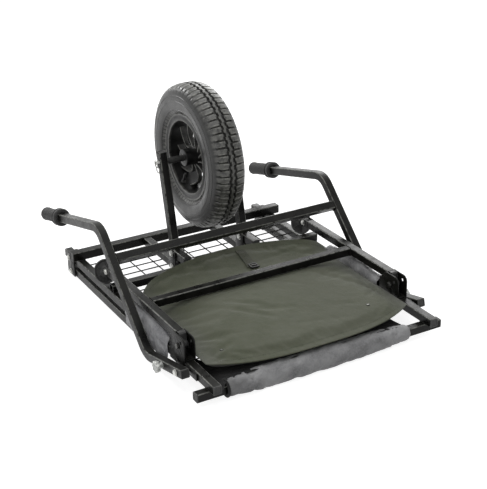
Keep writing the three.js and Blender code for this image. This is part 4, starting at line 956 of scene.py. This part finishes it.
def makeLegs(s):
    for name, _ in sides:
        low, _, middle = spanOf(f"leg_tube_{name}")
        shells = [straightTube(f"leg_tube_{name}", 1, end=s["earStart"])]
        start, tip, edge = s["earStart"] - s["earLap"], s["earEnd"] - halfTube, halfTube - s["earInset"]
        ear = [(start, -edge), (tip, -edge)] + arc((tip, 0), edge, -80, 80, 12) + [(tip, edge), (start, edge)]
        for x in (-halfTube + s["earSide"], halfTube - s["earSide"]):
            shells.append(slab(ear, Vector((middle.x + x, 0, middle.z)), alongAxis, upAxis, s["earThick"],
                               s["earEdge"]))
        makePiece(f"leg_tubing_{name}", "legs", blackPaint, shells, [f"leg_tube_{name}"])
        pivot, top = middleOf(f"leg_pivot_bolt_{name}"), middle.z + halfTube
        body = [(low.y, pivot.z), (low.y, top - s["topRound"]), (low.y - s["topRound"], top)]
        body += [(pivot.y + y, top + z) for y, z in s["shoulder"]] + [(pivot.y, pivot.z + s["neck"])]
        body += arc((pivot.y, pivot.z), s["noseRadius"], *s["nose"], 20)
        body += [(pivot.y + s["heel"][0], pivot.z + s["heel"][1])]
        (back, front), half = s["plug"], s["plugHalf"]
        plug = [(low.y + y, middle.z + z)
                for y, z in ((back, -half), (front, -half), (front, half), (back, half))]
        origin = Vector((middle.x, 0, 0))
        makePiece(f"leg_knuckle_body_{name}", "legs", blackPlastic,
                  [slab(body, origin, alongAxis, upAxis, s["knuckleThick"], s["knuckleEdge"]),
                   slab(plug, origin, alongAxis, upAxis, 2 * half, s["plugEdge"])], [f"leg_knuckle_{name}"])
    makeWeldedBar("leg_crossbar", "legs")


makeLegs(legShape)

# The dish is given by (radius, distance back from the sole, mark), the ribs by (outward, back from the eye)
footShape = dict(turn=155, drop=34, ribs=6, ribTurn=0.3, ribSeat=9, ribThick=2.6, ribEdge=0.5,
                 rib=((8, 0), (27, 4.2), (27, 6.0), (8, 6.0)),
                 eye=((7.6, -6.1), (8.8, -5.0), (8.8, 5.0), (7.6, 6.1)),
                 dish=((6.0, 2.5, 0), (8.0, 1.0, 0), (24.0, 1.2, 0.2), (26.0, 0, 0.8), (30.0, 0, 0.9),
                       (32.2, 0.8, 1), (33.0, 2.6, 1), (32.4, 4.8, 0.9), (30.8, 5.8, 0.7), (29.0, 5.2, 0.3),
                       (26.5, 3.6, 0), (18.0, 4.4, 0), (13.0, 6.8, 0), (10.2, 10.0, 0), (9.2, 14.0, 0),
                       (9.0, 20.0, 0), (8.0, 30.0, 0)))


def makeFeet(s):
    turn = math.radians(s["turn"])
    outward = Vector((0, -math.cos(turn), -math.sin(turn)))
    up = Vector((0, math.sin(turn), -math.cos(turn)))
    for name, side in sides:
        pivot = middleOf(f"foot_bolt_{name}")
        pivot.x = side * middleOf("rail_right").x
        shells = [turned([(radius, s["drop"] - back) for radius, back, _ in s["dish"]], pivot, outward, 72,
                         marks=[mark for _, _, mark in s["dish"]]), turned(s["eye"], pivot, acrossAxis, 36)]
        for k in range(s["ribs"]):
            a = k / s["ribs"] * math.tau + s["ribTurn"]
            way = acrossAxis * math.cos(a) + up * math.sin(a)
            shells.append(slab(s["rib"], pivot + outward * (s["drop"] - s["ribSeat"]), way, outward,
                               s["ribThick"], s["ribEdge"]))
        makePiece(f"mud_foot_{name}", f"foot_{name}", blackPlastic, shells, [f"foot_{name}"])


makeFeet(footShape)
print("legs and feet made")

# Handles
handleShape = dict(tail=25.3, lower=177.5, lowerAngle=-13, middle=349, middleAngle=43.8, top=397,
                   topAngle=-14.6, bend=52, bendSteps=12)


# Three straight runs joined by bends, in the plane at x
def handleStations(pivot, x, s):
    runs = [(s["tail"] + s["lower"], math.radians(s["lowerAngle"])),
            (s["middle"], math.radians(s["middleAngle"])), (s["top"], math.radians(s["topAngle"]))]
    first = runs[0][1]
    y = pivot.y - s["tail"] * math.cos(first)
    z = pivot.z - s["tail"] * math.sin(first)
    spots = [(y, z, first)]
    for index, (length, angle) in enumerate(runs):
        before = angle - runs[index - 1][1] if index else 0
        after = runs[index + 1][1] - angle if index < 2 else 0
        straight = length - s["bend"] * (math.tan(abs(before) / 2) + math.tan(abs(after) / 2))
        y += straight * math.cos(angle)
        z += straight * math.sin(angle)
        spots.append((y, z, angle))
        if after:
            way = math.copysign(1, after)
            centreY = y - way * s["bend"] * math.sin(angle)
            centreZ = z + way * s["bend"] * math.cos(angle)
            for step in range(1, s["bendSteps"] + 1):
                turn = angle + after * step / s["bendSteps"]
                y = centreY + way * s["bend"] * math.sin(turn)
                z = centreZ - way * s["bend"] * math.cos(turn)
                spots.append((y, z, turn))
    return [(Vector((x, y, z)), acrossAxis, Vector((0, -math.sin(a), math.cos(a)))) for y, z, a in spots]


# The grip's ends are (radius, distance from the closed end back along the tube)
gripShape = dict(radius=17.6, ribs=22, ribDepth=0.9, ribsFrom=9.5, ribsTo=88.0, ribRise=0.25, ribFall=0.7,
                 ribEnd=0.95,
                 nose=((7.0, 4.0), (11.5, 3.4), (15.0, 1.8), (17.0, -0.6), (18.4, -3.0), (18.6, -6.0),
                       (17.6, -8.0)),
                 collar=((17.2, -89.0), (17.8, -94.0), (20.0, -98.0), (22.4, -100.0), (24.0, -102.0),
                         (24.0, -105.5), (22.6, -107.2), (20.2, -108.6), (19.8, -110.4), (20.6, -112.0),
                         (23.0, -113.6), (24.0, -115.4), (24.0, -121.0), (23.0, -123.8), (20.0, -125.0),
                         (15.7, -125.0), (15.7, -122.0)))


def gripProfile(s):
    ribs = []
    step = (s["ribsTo"] - s["ribsFrom"]) / s["ribs"]
    for rib in range(s["ribs"]):
        at = -(s["ribsFrom"] + (s["ribsTo"] - s["ribsFrom"]) * rib / s["ribs"])
        low = s["radius"] - s["ribDepth"]
        ribs += [(low, at), (s["radius"], at - step * s["ribRise"]), (s["radius"], at - step * s["ribFall"]),
                 (low, at - step * s["ribEnd"])]
    return list(s["nose"]) + ribs + list(s["collar"])


def makeHandles(s):
    topAngle = math.radians(s["topAngle"])
    along = Vector((0, math.cos(topAngle), math.sin(topAngle)))
    for name, _ in sides:
        stations = handleStations(middleOf(f"handle_pivot_bolt_{name}"), middleOf(f"handle_tube_{name}").x, s)
        makePiece(f"handle_tubing_{name}", "handles", blackPaint, [squareTube(stations)],
                  [f"handle_tube_{name}"])
        start, _, startUp = stations[0]
        first = (stations[1][0] - start).normalized()
        makePiece(f"handle_plug_{name}", "handles", blackPlastic, [endCap(start, -first, startUp)])
        makePiece(f"grip_sleeve_{name}", "handles", gripRubber,
                  [turned(gripProfile(gripShape), stations[-1][0], along, 56)], [f"grip_{name}"], sharp=50)
    makeWeldedBar("handle_crossbar", "handles", math.radians(s["middleAngle"]))


makeHandles(handleShape)

# The star is given by (share of its radius, distance from its back, mark)
knobShape = dict(radius=15.0, lobes=7, dip=1.35, dipFrom=0.5, dipGain=2.2, thick=11.0, steps=84, stud=4.0,
                 studEnd=0.5, boss=((8.6, -9.0), (8.6, -8.2), (7.0, -7.4), (7.0, 1.0)),
                 star=((0.8, 0.0, 0.5), (0.95, 0.6, 0.9), (1.0, 2.2, 0.6), (1.0, 7.2, 0.6),
                       (0.97, 9.2, 0.9), (0.86, 10.6, 1.0), (0.66, 11.0, 0.5), (0.58, 10.2, 0.2),
                       (0.5, 10.0, 0.0)))


def makeKnobs(s):
    turns = [k / s["steps"] * math.tau for k in range(s["steps"])]
    for name, side in sides:
        low, high, centre = spanOf(f"lock_knob_{name}")
        face, tip = (high.x, low.x) if side > 0 else (low.x, high.x)
        way = acrossAxis * side
        back = Vector((face, centre.y, centre.z)) - way * s["thick"]
        loops = []
        for grow, out, _ in s["star"]:
            dip = s["dip"] * min(1.0, max(0.0, (grow - s["dipFrom"]) * s["dipGain"]))
            loops.append([back + way * out + Vector((0, math.cos(a), math.sin(a)))
                          * ((s["radius"] - dip * (1 - math.cos(a * s["lobes"]))) * grow) for a in turns])
        star = loft(loops)
        star["marks"] = [mark for _, _, mark in s["star"] for _ in turns]
        stud = ((s["stud"], s["studEnd"] - abs(back.x - tip)), (s["stud"], 0.0))
        makePiece(f"star_knob_{name}", f"knob_{name}", paleKnob,
                  [star, turned(s["boss"], back, way, 40), turned(stud, back, way, 24)],
                  [f"lock_knob_{name}"], sharp=40)


makeKnobs(knobShape)


# Guard under the rails, with no bead on the side that lies on the ground
def makeGuard():
    caps = []
    for name, _ in sides:
        tubePiece(f"guard_tube_{name}", "guard", f"guard_arm_{name}", 1)
        caps += capsOf(f"guard_arm_{name}", 1)
    makePiece("guard_plugs", "guard", blackPlastic, caps)
    makeWeldedBar("guard_crossbar", "guard", beads=3)


makeGuard()
print("handles, knobs and guard made")

# Bag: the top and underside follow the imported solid, then the cloth settles and takes its creases
bagShape = dict(nearY=23, farY=438, farBow=86, halfWidth=283, corner=62, cornerPower=3, floor=21.4,
                edgeTop=8, crown=26, flapTop=52, hem=2.6, crownShare=0.95, flapShare=0.74, crownPower=3,
                flapPower=16, edgeThick=4, rampAlong=0.1, rampAcross=0.125, columns=88, rows=72,
                pressure=1.1, shrink=-0.012, reach=7.0, legBar=(330, 376), legBarTop=35.0, greyFrom=0.8,
                greyGain=4, pinReach=5.0, pinPower=1.5, softReach=4.0, rollingLength=95, rollingHeight=2.2,
                ripple=2.7, rippleHeight=0.9)
creaseShape = dict(gain=1.4, fadeFrom=0.12, fadeSpan=0.76, ridge=0.7, ridgeAway=1.3, ridgeReach=2.2)
# each crease: start, end, depth and width
creases = (((-134.6, 298.2), (-39.7, 214.2), 3.4, 10.0), ((-161.9, 283.9), (-49.2, 158.9), 2.6, 9.0),
           ((-120.0, 240.0), (10.0, 175.0), 2.2, 12.0), ((-284.9, 70.1), (-232.2, 62.5), 4.0, 6.0),
           ((-280.0, 84.0), (-215.0, 92.0), 3.0, 7.0), ((-276.0, 98.0), (-190.0, 124.0), 2.4, 9.0),
           ((262.0, 300.0), (253.0, 132.0), 5.0, 9.0), ((225.0, 250.0), (254.0, 203.0), 4.0, 12.0),
           ((150.0, 330.0), (236.0, 210.0), 2.4, 14.0), ((30.0, 330.0), (120.0, 240.0), 1.8, 13.0),
           ((-225.6, 494.8), (-9.3, 450.8), 2.2, 7.0), ((60.0, 448.0), (240.0, 452.0), 2.0, 8.0),
           ((-250.0, 180.0), (-170.0, 150.0), 2.6, 12.0), ((-40.0, 120.0), (90.0, 90.0), 1.6, 12.0),
           ((100.0, 150.0), (210.0, 110.0), 1.8, 12.0))


def bagFlap(along, s):
    return max(0.0, (along - s["flapShare"]) / (1 - s["flapShare"]))


def bagTop(across, along, s):
    crown = (1 - abs(across) ** s["crownPower"]) * math.sin(math.pi * along * s["crownShare"])
    lift = bagFlap(along, s) ** 2 * (1 - across ** s["flapPower"])
    return s["edgeTop"] + s["crown"] * crown + (s["flapTop"] - s["edgeTop"]) * lift


# The underside, which comes up to a thin hem at the edges
def bagUnder(across, along, s):
    hem = bagTop(across, along, s) - s["hem"]
    lift = min(1.0, 2 * bagFlap(along, s)) * (1 - across ** s["flapPower"])
    under = min(hem, -s["floor"] + (s["flapTop"] - s["edgeThick"] + s["floor"]) * lift)
    ramp = min(1.0, along / s["rampAlong"], (1 - along) / s["rampAlong"], (1 - abs(across)) / s["rampAcross"])
    return hem + (under - hem) * ramp


def bagEnds(across, s):
    near = s["nearY"] + s["corner"] * abs(across) ** s["cornerPower"]
    return near, s["farY"] + s["farBow"] * (1 - across ** 2)


def bagPlace(across, along, s):
    near, far = bagEnds(across, s)
    return across * s["halfWidth"], near + (far - near) * along


def bagTopAt(x, y, s=bagShape):
    across = x / s["halfWidth"]
    near, far = bagEnds(across, s)
    return bagTop(across, min(1.0, max(0.0, (y - near) / (far - near))), s)


def creaseDepth(x, y):
    c = creaseShape
    sink, spot = 0.0, Vector((x, y))
    for start, end, depth, width in creases:
        depth *= c["gain"]
        a, b = Vector(start), Vector(end)
        length = (b - a).length
        share = max(0.0, min(1.0, (spot - a).dot(b - a) / length ** 2))
        away = (spot - a.lerp(b, share)).length
        side = (b - a).cross(spot - a) / length
        fade = math.sin(math.pi * (c["fadeFrom"] + c["fadeSpan"] * share))
        sink -= depth * fade * math.exp(-(away / width) ** 2)
        # the cloth stands up beside the crease
        ridge = math.exp(-((side - width * c["ridgeAway"]) / width) ** 2
                         - (away / width / c["ridgeReach"]) ** 2)
        sink += depth * c["ridge"] * fade * ridge
    return sink


# Faces of a sheet with two skins, whose points run row by row: first the whole top, then the underside
def skinFaces(columns, rows):
    width, below = columns + 1, (columns + 1) * (rows + 1)
    faces = []
    for row in range(rows):
        for column in range(columns):
            a = row * width + column
            faces.append((a, a + 1, a + 1 + width, a + width))
            faces.append((below + a, below + a + width, below + a + 1 + width, below + a + 1))
    rim = list(range(columns)) + [row * width + columns for row in range(rows)]
    rim += [rows * width + column for column in range(columns, 0, -1)]
    rim += [row * width for row in range(rows, 0, -1)]
    return faces + [(a, below + a, below + b, b) for a, b in zip(rim, rim[1:] + rim[:1])]


def smoothCloth(piece):
    piece.modifiers.new("smooth cloth", "SUBSURF").render_levels = 1


def makeBag(s):
    columns, rows = s["columns"], s["rows"]
    tops, unders, edges = [], [], []
    for row in range(rows + 1):
        for column in range(columns + 1):
            across, along = column / columns * 2 - 1, row / rows
            x, y = bagPlace(across, along, s)
            tops.append(Vector((x, y, bagTop(across, along, s))))
            unders.append(Vector((x, y, bagUnder(across, along, s))))
            edges.append(min(row, rows - row, column, columns - column))
    # the cloth turns grey towards the rails
    marks = [max(0.0, abs(p.x) / s["halfWidth"] - s["greyFrom"]) * s["greyGain"] for p in tops + unders]
    shell = dict(points=tops + unders, faces=skinFaces(columns, rows), marks=marks)
    piece = makePiece("bag_cloth", "frame", oliveFabric, [shell], ["bag_body"], sharp=80, weighted=False)
    pins = piece.vertex_groups.new(name="hem")
    for index, edge in enumerate(edges):
        pins.add([index], max(0.0, 1 - edge / s["pinReach"]) ** s["pinPower"], "REPLACE")
        pins.add([index + len(tops)], 1.0, "REPLACE")
    settle(piece, s)
    for edge, vert in zip(edges, piece.data.vertices):
        p = toBarrow(vert.co)
        soft = min(1.0, edge / s["softReach"])
        spot = Vector((p.x / s["rollingLength"], p.y / s["rollingLength"], 0.4))
        rolling = s["rollingHeight"] * noise.noise(spot) + s["rippleHeight"] * noise.noise(spot * s["ripple"])
        p.z += soft * (creaseDepth(p.x, p.y) + rolling)
        limit = s["legBarTop"] if s["legBar"][0] < p.y < s["legBar"][1] else bagTopAt(p.x, p.y) + s["reach"]
        p.z = max(min(p.z, limit), -s["floor"] + 1)
        vert.co = toScene(p)
    smoothCloth(piece)
    return piece


clothShape = dict(frames=20, quality=4, mass=0.15, stretch=12, shear=5, bend=0.4)


# Lets cloth swell a little between its pinned places, and puts the result in the mesh
def settle(piece, s):
    cloth, c = piece.modifiers.new("cloth", "CLOTH"), clothShape
    for key, value in dict(quality=c["quality"], mass=c["mass"], tension_stiffness=c["stretch"],
                           compression_stiffness=c["stretch"], shear_stiffness=c["shear"],
                           bending_stiffness=c["bend"], use_pressure=True,
                           uniform_pressure_force=s["pressure"], shrink_min=s["shrink"],
                           vertex_group_mass="hem").items():
        setattr(cloth.settings, key, value)
    cloth.settings.effector_weights.gravity = 0
    cloth.collision_settings.use_collision = False
    cloth.point_cache.frame_start, cloth.point_cache.frame_end = 1, c["frames"]
    scene = bpy.context.scene
    for step in range(1, c["frames"] + 1):
        scene.frame_set(step)
    shaped = piece.evaluated_get(bpy.context.evaluated_depsgraph_get())
    moves = [end.co - vert.co for end, vert in zip(shaped.data.vertices, piece.data.vertices)]
    piece.modifiers.remove(cloth)
    scene.frame_set(1)
    farthest = s["reach"] * mm
    for vert, moved in zip(piece.data.vertices, moves):
        vert.co += moved.normalized() * farthest if moved.length > farthest else moved


bagPiece = makeBag(bagShape)
bagSurface = BVHTree.FromPolygons([toBarrow(v.co) for v in bagPiece.data.vertices],
                                  [tuple(p.vertices) for p in bagPiece.data.polygons])


# Height of the finished cloth
def clothTop(x, y):
    spot = bagSurface.ray_cast(Vector((x, y, 2 * bagShape["flapTop"])), -upAxis)[0]
    return spot.z if spot else bagTopAt(x, y)


print("bag made")

# Stud profiles are (share of the radius, height)
trimShape = dict(studs=((-228, 110), (180, 108)), studRadius=4.8, studLift=0.4, stitch=3.2, stitchGap=1.6,
                 thread=0.35, threadLift=0.3, threadSink=0.4, hemRows=(0.035, 0.965), hemShare=0.9,
                 rim=((1, -1.5), (1, 0.5), (0.85, 1.1), (0.6, 0.9)),
                 middle=((0.6, 0.2), (0.5, 1.2), (0.2, 1.4)))


# Stitches follow the hem; press studs hold the bag's corners
def makeBagTrim(s):
    thread, half = [], bagShape["halfWidth"]
    for row in s["hemRows"]:
        x = -half * s["hemShare"]
        while x < half * s["hemShare"]:
            a, b = [Vector((px, py, clothTop(px, py) + s["threadLift"]))
                    for px, py in (bagPlace(step / half, row, bagShape) for step in (x, x + s["stitch"]))]
            thread.append(rod([a - upAxis * s["threadSink"], a.lerp(b, 0.5) + upAxis * s["threadLift"],
                               b - upAxis * s["threadSink"]], s["thread"], 5))
            x += s["stitch"] + s["stitchGap"]
    makePiece("hem_stitches", "frame", oliveWebbing, thread, sharp=180, weighted=False)
    for name, finish, part, steps in (("press_studs", darkSteel, "rim", 32),
                                      ("press_stud_centres", dullSteel, "middle", 24)):
        profile = [(share * s["studRadius"], out) for share, out in s[part]]
        makePiece(name, "frame", finish,
                  [turned(profile, Vector((x, y, clothTop(x, y) + s["studLift"])), upAxis, steps)
                   for x, y in s["studs"]])


makeBagTrim(trimShape)

# The strap's section is (share of half its width, share of its thickness), and a buckle bar is
# its low corner, high corner and rounding
strapShape = dict(width=25, thick=2.4, start=(36, 425), end=(44, 502), steps=24, sway=1.2, swayAngle=5,
                  lift=0.6, section=((-1, 0), (-1, 1), (-0.6, 1.15), (0, 1.2), (0.6, 1.15), (1, 1), (1, 0)),
                  buckle=(40, 424), buckleScale=0.74, buckleLift=1.6,
                  bars=(((-16, -17, 0), (16, -11.5, 6), 1.6), ((-16, 11.5, 0), (16, 17, 6), 1.6),
                        ((-16, -17, 0), (-11, 17, 6), 1.6), ((11, -17, 0), (16, 17, 6), 1.6),
                        ((-13, -3, 1), (13, 3, 6.4), 1.4), ((-11.5, -14, 0.6), (11.5, 14, 2.4), 0.6)))


def makeStrap(s):
    start, end = Vector(s["start"]), Vector(s["end"])
    way = (end - start).normalized()
    side = Vector((way.y, -way.x))
    loops = []
    for step in range(s["steps"] + 1):
        share = step / s["steps"]
        spot = start.lerp(end, share)
        spot += side * s["sway"] * math.sin(share * s["swayAngle"])
        ring = []
        for across, out in s["section"]:
            p = spot + side * across * s["width"] / 2
            ring.append(Vector((p.x, p.y, clothTop(p.x, p.y) + s["lift"] + out * s["thick"])))
        loops.append(ring)
    piece = makePiece("closing_strap", "frame", oliveWebbing, [loft(loops)], ["bag_strap"], sharp=50)
    x, y = s["buckle"]
    seat = Vector((x, y, clothTop(x, y) + s["buckleLift"]))
    turn = Matrix.Rotation(-math.atan2(way.x, way.y), 3, "Z")
    parts = [softBox(*bar) for bar in s["bars"]]
    for part in parts:
        part["points"] = [turn @ p * s["buckleScale"] + seat for p in part["points"]]
    makePiece("strap_buckle", "frame", blackPlastic, parts, ["bag_buckle"])


makeStrap(strapShape)

# Roll: padding wrapped round the handle-end crossbar
rollShape = dict(left=-262, right=244, radius=29, endRadius=19, startShare=0.06, swellPower=0.6, bore=15.0,
                 skin=1.2, endTuck=3.0, stations=120, around=56, pressure=2.0, shrink=-0.02, reach=4.0,
                 pinStart=0.8, pinReach=6.0, ground=-57.2, endReach=8.0, lumpLength=46, lump=2.0,
                 lumpSlant=0.5, lumpTurn=1.1, ripple=2.3, rippleHeight=1.2, foldLength=30, foldSlant=0.9,
                 foldTurn=0.8, foldSharp=3.2, foldDepth=1.6, grimeReach=70, grimeLength=14, grimePatches=0.4,
                 cuff=((16.0, -3), (21.0, -3), (22.4, -1.8), (22.6, 0.0), (21.6, 1.6), (16.0, 1.6)))


def rollRadius(share, s):
    along = s["startShare"] + share * (1 - s["startShare"])
    swell = max(0.0, math.sin(math.pi * along)) ** s["swellPower"]
    return s["endRadius"] + (s["radius"] - s["endRadius"]) * swell


# The wrap is pulled into slanting tucks
def rollLump(x, a, s):
    y, z = math.cos(a), math.sin(a)
    spot = Vector((x / s["lumpLength"] + a * s["lumpSlant"], y * s["lumpTurn"], z * s["lumpTurn"]))
    ripple = noise.noise(spot * s["ripple"] + Vector((7, 1, 3)))
    lump = s["lump"] * noise.noise(spot) + s["rippleHeight"] * ripple
    fold = noise.noise(Vector((x / s["foldLength"] + a * s["foldSlant"], y * s["foldTurn"],
                               z * s["foldTurn"] + 9)))
    return lump - s["foldDepth"] * max(0.0, 1 - abs(fold) * s["foldSharp"]) ** 2


def makeRoll(s):
    centre = middleOf("near_crossbar")
    length, count = s["right"] - s["left"], s["around"]
    turns = [k / count * math.tau for k in range(count)]

    def ring(x, radius):
        return [Vector((x, centre.y + radius * math.cos(a), centre.z + radius * math.sin(a))) for a in turns]

    loops = [ring(s["left"], s["bore"])]
    for station in range(s["stations"] + 1):
        share = station / s["stations"]
        tuck = s["endTuck"] * math.exp(-min(share, 1 - share) * length / s["endTuck"])
        loops.append(ring(s["left"] + length * share, rollRadius(share, s) - s["skin"] - tuck))
    loops.append(ring(s["right"], s["bore"]))
    shell = loft(loops, joined=True)
    patches = s["grimePatches"]
    shell["marks"] = [max(0.0, 1 - (p.x - s["left"]) / s["grimeReach"])
                      * (1 - patches + patches * noise.noise(p / s["grimeLength"])) for p in shell["points"]]
    piece = makePiece("padded_roll", "frame", rollFabric, [shell], ["bag_roll"], sharp=80, weighted=False)
    pins = piece.vertex_groups.new(name="hem")
    last = len(loops) - 1
    for index in range(len(loops)):
        edge = min(index, last - index)
        weight = 1.0 if edge == 0 else max(0.0, s["pinStart"] - edge / s["pinReach"])
        pins.add(list(range(index * count, (index + 1) * count)), weight, "REPLACE")
    settle(piece, s)
    for index, vert in enumerate(piece.data.vertices):
        row, k = divmod(index, count)
        if row in (0, last):
            continue
        p, a = toBarrow(vert.co), turns[k]
        lump = rollLump(p.x, a, s) * min(1.0, min(row, last - row) / s["endReach"])
        p += Vector((0, math.cos(a), math.sin(a))) * lump
        p.z = max(p.z, s["ground"])
        vert.co = toScene(p)
    smoothCloth(piece)
    makePiece("roll_cuff", "frame", blackWebbing,
              [turned(s["cuff"], Vector((s["left"], centre.y, centre.z)), acrossAxis, 48, joined=True)])


makeRoll(rollShape)
print("roll made")

# The bag's grey sides hang over the rails: half of a row arches over the rail, half falls outside it
wingShape = dict(near=216, far=462, endGap=2, inner=288.4, outer=311.6, lap=3.0, base=3.0, top=24.0,
                 topShare=0.72, drop=47.0, hem=2.6, thick=1.0, columns=56, rows=64, bulge=4.5,
                 bulgeShare=0.6, outermost=318.8, railGap=0.5, railTop=1.2, foldLength=26, foldAlong=30,
                 crumple=3.4, ripple=2.4, rippleHeight=1.9, creaseScale=1.3, creaseSharp=3.0,
                 creaseHeight=1.7, crumpleShare=0.9)


def wingCrumple(x, y, z, side, s):
    spot = Vector((x / s["foldLength"] + side * 5, y / s["foldAlong"], z / s["foldLength"]))
    crumple = s["crumple"] * noise.noise(spot) + s["rippleHeight"] * noise.noise(spot * s["ripple"])
    sharpFold = 1 - abs(noise.noise(spot * s["creaseScale"] + Vector((3, 8, 2)))) * s["creaseSharp"]
    return crumple + s["creaseHeight"] * max(0.0, sharpFold) ** 2


def makeWing(name, side, finish, s):
    middle = (s["inner"] + s["outer"]) / 2
    over = (s["outer"] - s["inner"]) / 2 + s["lap"]
    points = []
    for skin in (0, 1):
        for row in range(s["rows"] + 1):
            along = row / s["rows"]
            y = s["near"] + s["endGap"] + (s["far"] - s["near"] - 2 * s["endGap"]) * along
            body = max(0.0, math.sin(math.pi * along)) ** 0.5
            for column in range(s["columns"] + 1):
                share = column / s["columns"]
                if share < 0.5:
                    a = math.pi * (1 - share * 2)
                    x = middle + over * math.cos(a)
                    z = s["base"] + s["top"] * math.sin(a) * (s["topShare"] + (1 - s["topShare"]) * body)
                    out = Vector((math.cos(a), 0, math.sin(a)))
                else:
                    fall = (share - 0.5) * 2
                    x = middle + over + s["bulge"] * body * math.sin(math.pi * fall) * s["bulgeShare"]
                    z = s["base"] - (s["drop"] + s["hem"]) * fall
                    out = Vector((1, 0, 0))
                crumple = wingCrumple(x, y, z, side, s) * s["crumpleShare"]
                p = Vector((x, y, z)) + out * (crumple - skin * s["thick"])
                p.x = max(min(p.x, s["outermost"]), s["inner"] - s["lap"])
                if s["inner"] - s["railGap"] < p.x < s["outer"] + s["railGap"]:
                    p.z = max(p.z, s["railTop"] + s["thick"] * (1 - skin))
                points.append(Vector((side * p.x, p.y, p.z)))
    shell = dict(points=points, faces=skinFaces(s["columns"], s["rows"]), marks=[0.0] * len(points))
    piece = makePiece(f"bag_wing_{name}", "frame", finish, [shell], [f"bag_side_{name}"], sharp=80,
                      weighted=False)
    smoothCloth(piece)


# The left side gets the lighter grey as painted light, the right side the grey of the roll
for (name, side), finish in zip(sides, (litGreyFabric, rollFabric)):
    makeWing(name, side, finish, wingShape)
print("grey sides made")

liningShape = dict(left=-286, right=233, near=29, nearTurn=16, turnReach=12, reach=50, cornerReach=60,
                   cornerPower=8, farZ=-22.8, sag=1.5, sagLength=40, tuck=2.5, thick=1.0, count=60)


# A sheet that closes the gap from the roll to the underside of the bag, coloured near black as painted shade
def makeLining(s):
    centre = middleOf("near_crossbar")
    r = rollShape
    loops = []
    for step in range(s["count"] + 1):
        x = s["left"] + (s["right"] - s["left"]) * step / s["count"]
        radius = rollRadius(max(0.0, (x - r["left"]) / (r["right"] - r["left"])), r) - s["tuck"]
        near = s["near"] - s["nearTurn"] * max(0.0, min(1.0, (r["left"] - x) / s["turnReach"]))
        nearZ = centre.z + math.sqrt(max(0.0, radius ** 2 - (near - centre.y) ** 2))
        across = x / bagShape["halfWidth"]
        far = bagEnds(across, bagShape)[0] + s["reach"] + s["cornerReach"] * across ** s["cornerPower"]
        sag = s["sag"] * (1 + noise.noise(Vector((x / s["sagLength"], 0.3, 0.7))))
        spots = [Vector((x, near, nearZ)), Vector((x, (near + far) / 2, (nearZ + s["farZ"]) / 2 - sag)),
                 Vector((x, far, s["farZ"]))]
        loops.append(spots + [p + upAxis * s["thick"] for p in reversed(spots)])
    piece = makePiece("bag_lining", "frame", shadeLining, [loft(loops)], sharp=50)


makeLining(liningShape)


# Plain floor and soft light
studio = dict(sky=0.3, floorGlow=0.86, floorTone=0.5, floorRough=0.9, floorReach=30, floorDrop=0.0005)


# 1 where the camera, a reflection or glass looks at a surface, 0 where it lights the barrow
def seenDirectly(tree):
    rays = put(tree, "ShaderNodeLightPath").outputs
    bent = maths(tree, "MAXIMUM", rays["Is Glossy Ray"], rays["Is Transmission Ray"])
    return maths(tree, "MAXIMUM", rays["Is Camera Ray"], bent)


def makeStudio(s):
    world = bpy.data.worlds.new("studio")
    bpy.context.scene.world = world
    world.use_nodes = True
    tree = world.node_tree
    tree.nodes.clear()
    strength = maths(tree, "MULTIPLY_ADD", seenDirectly(tree), 1 - s["sky"], s["sky"])
    light = put(tree, "ShaderNodeBackground", {"Color": (1, 1, 1, 1), "Strength": strength})
    end = put(tree, "ShaderNodeOutputWorld")
    tree.links.new(light.outputs[0], end.inputs["Surface"])

    material, tree, shader = newMaterial("studio floor")
    shader.inputs["Base Color"].default_value = (s["floorTone"],) * 3 + (1,)
    shader.inputs["Roughness"].default_value = s["floorRough"]
    shader.inputs["Specular IOR Level"].default_value = 0.0
    shader.inputs["Emission Color"].default_value = (1, 1, 1, 1)
    glow = maths(tree, "MULTIPLY", seenDirectly(tree), s["floorGlow"])
    tree.links.new(glow, shader.inputs["Emission Strength"])
    mesh = bpy.data.meshes.new("floor")
    r = s["floorReach"]
    mesh.from_pydata([(-r, -r, 0), (r, -r, 0), (r, r, 0), (-r, r, 0)], [], [(0, 1, 2, 3)])
    mesh.materials.append(material)
    floor = bpy.data.objects.new("floor", mesh)
    floor.location.z = -s["floorDrop"]
    bpy.context.scene.collection.objects.link(floor)


lampSettings = (
    dict(name="top softbox", place=(0, 500, 2600), aim=(0, 400, 0), size=2.6, power=28),
    dict(name="back right softbox", place=(1900, 2600, 1500), aim=(0, 500, 0), size=1.8, power=40),
    dict(name="back left softbox", place=(-750, 2900, 1750), aim=(0, 600, 200), size=0.8, power=26),
    dict(name="front left fill", place=(-2200, -1400, 1500), aim=(0, 300, 0), size=2.0, power=14))


def makeLamps():
    for s in lampSettings:
        data = bpy.data.lights.new(s["name"], "AREA")
        data.shape = "SQUARE"
        data.size = s["size"]
        data.energy = s["power"]
        lamp = bpy.data.objects.new(s["name"], data)
        place, aim = toScene(s["place"]), toScene(s["aim"])
        turn = (aim - place).to_track_quat("-Z", "Y").to_matrix().to_4x4()
        lamp.matrix_world = Matrix.Translation(place) @ turn
        bpy.context.scene.collection.objects.link(lamp)


makeStudio(studio)
makeLamps()
bpy.context.scene.view_settings.view_transform = "Standard"
print("studio made")
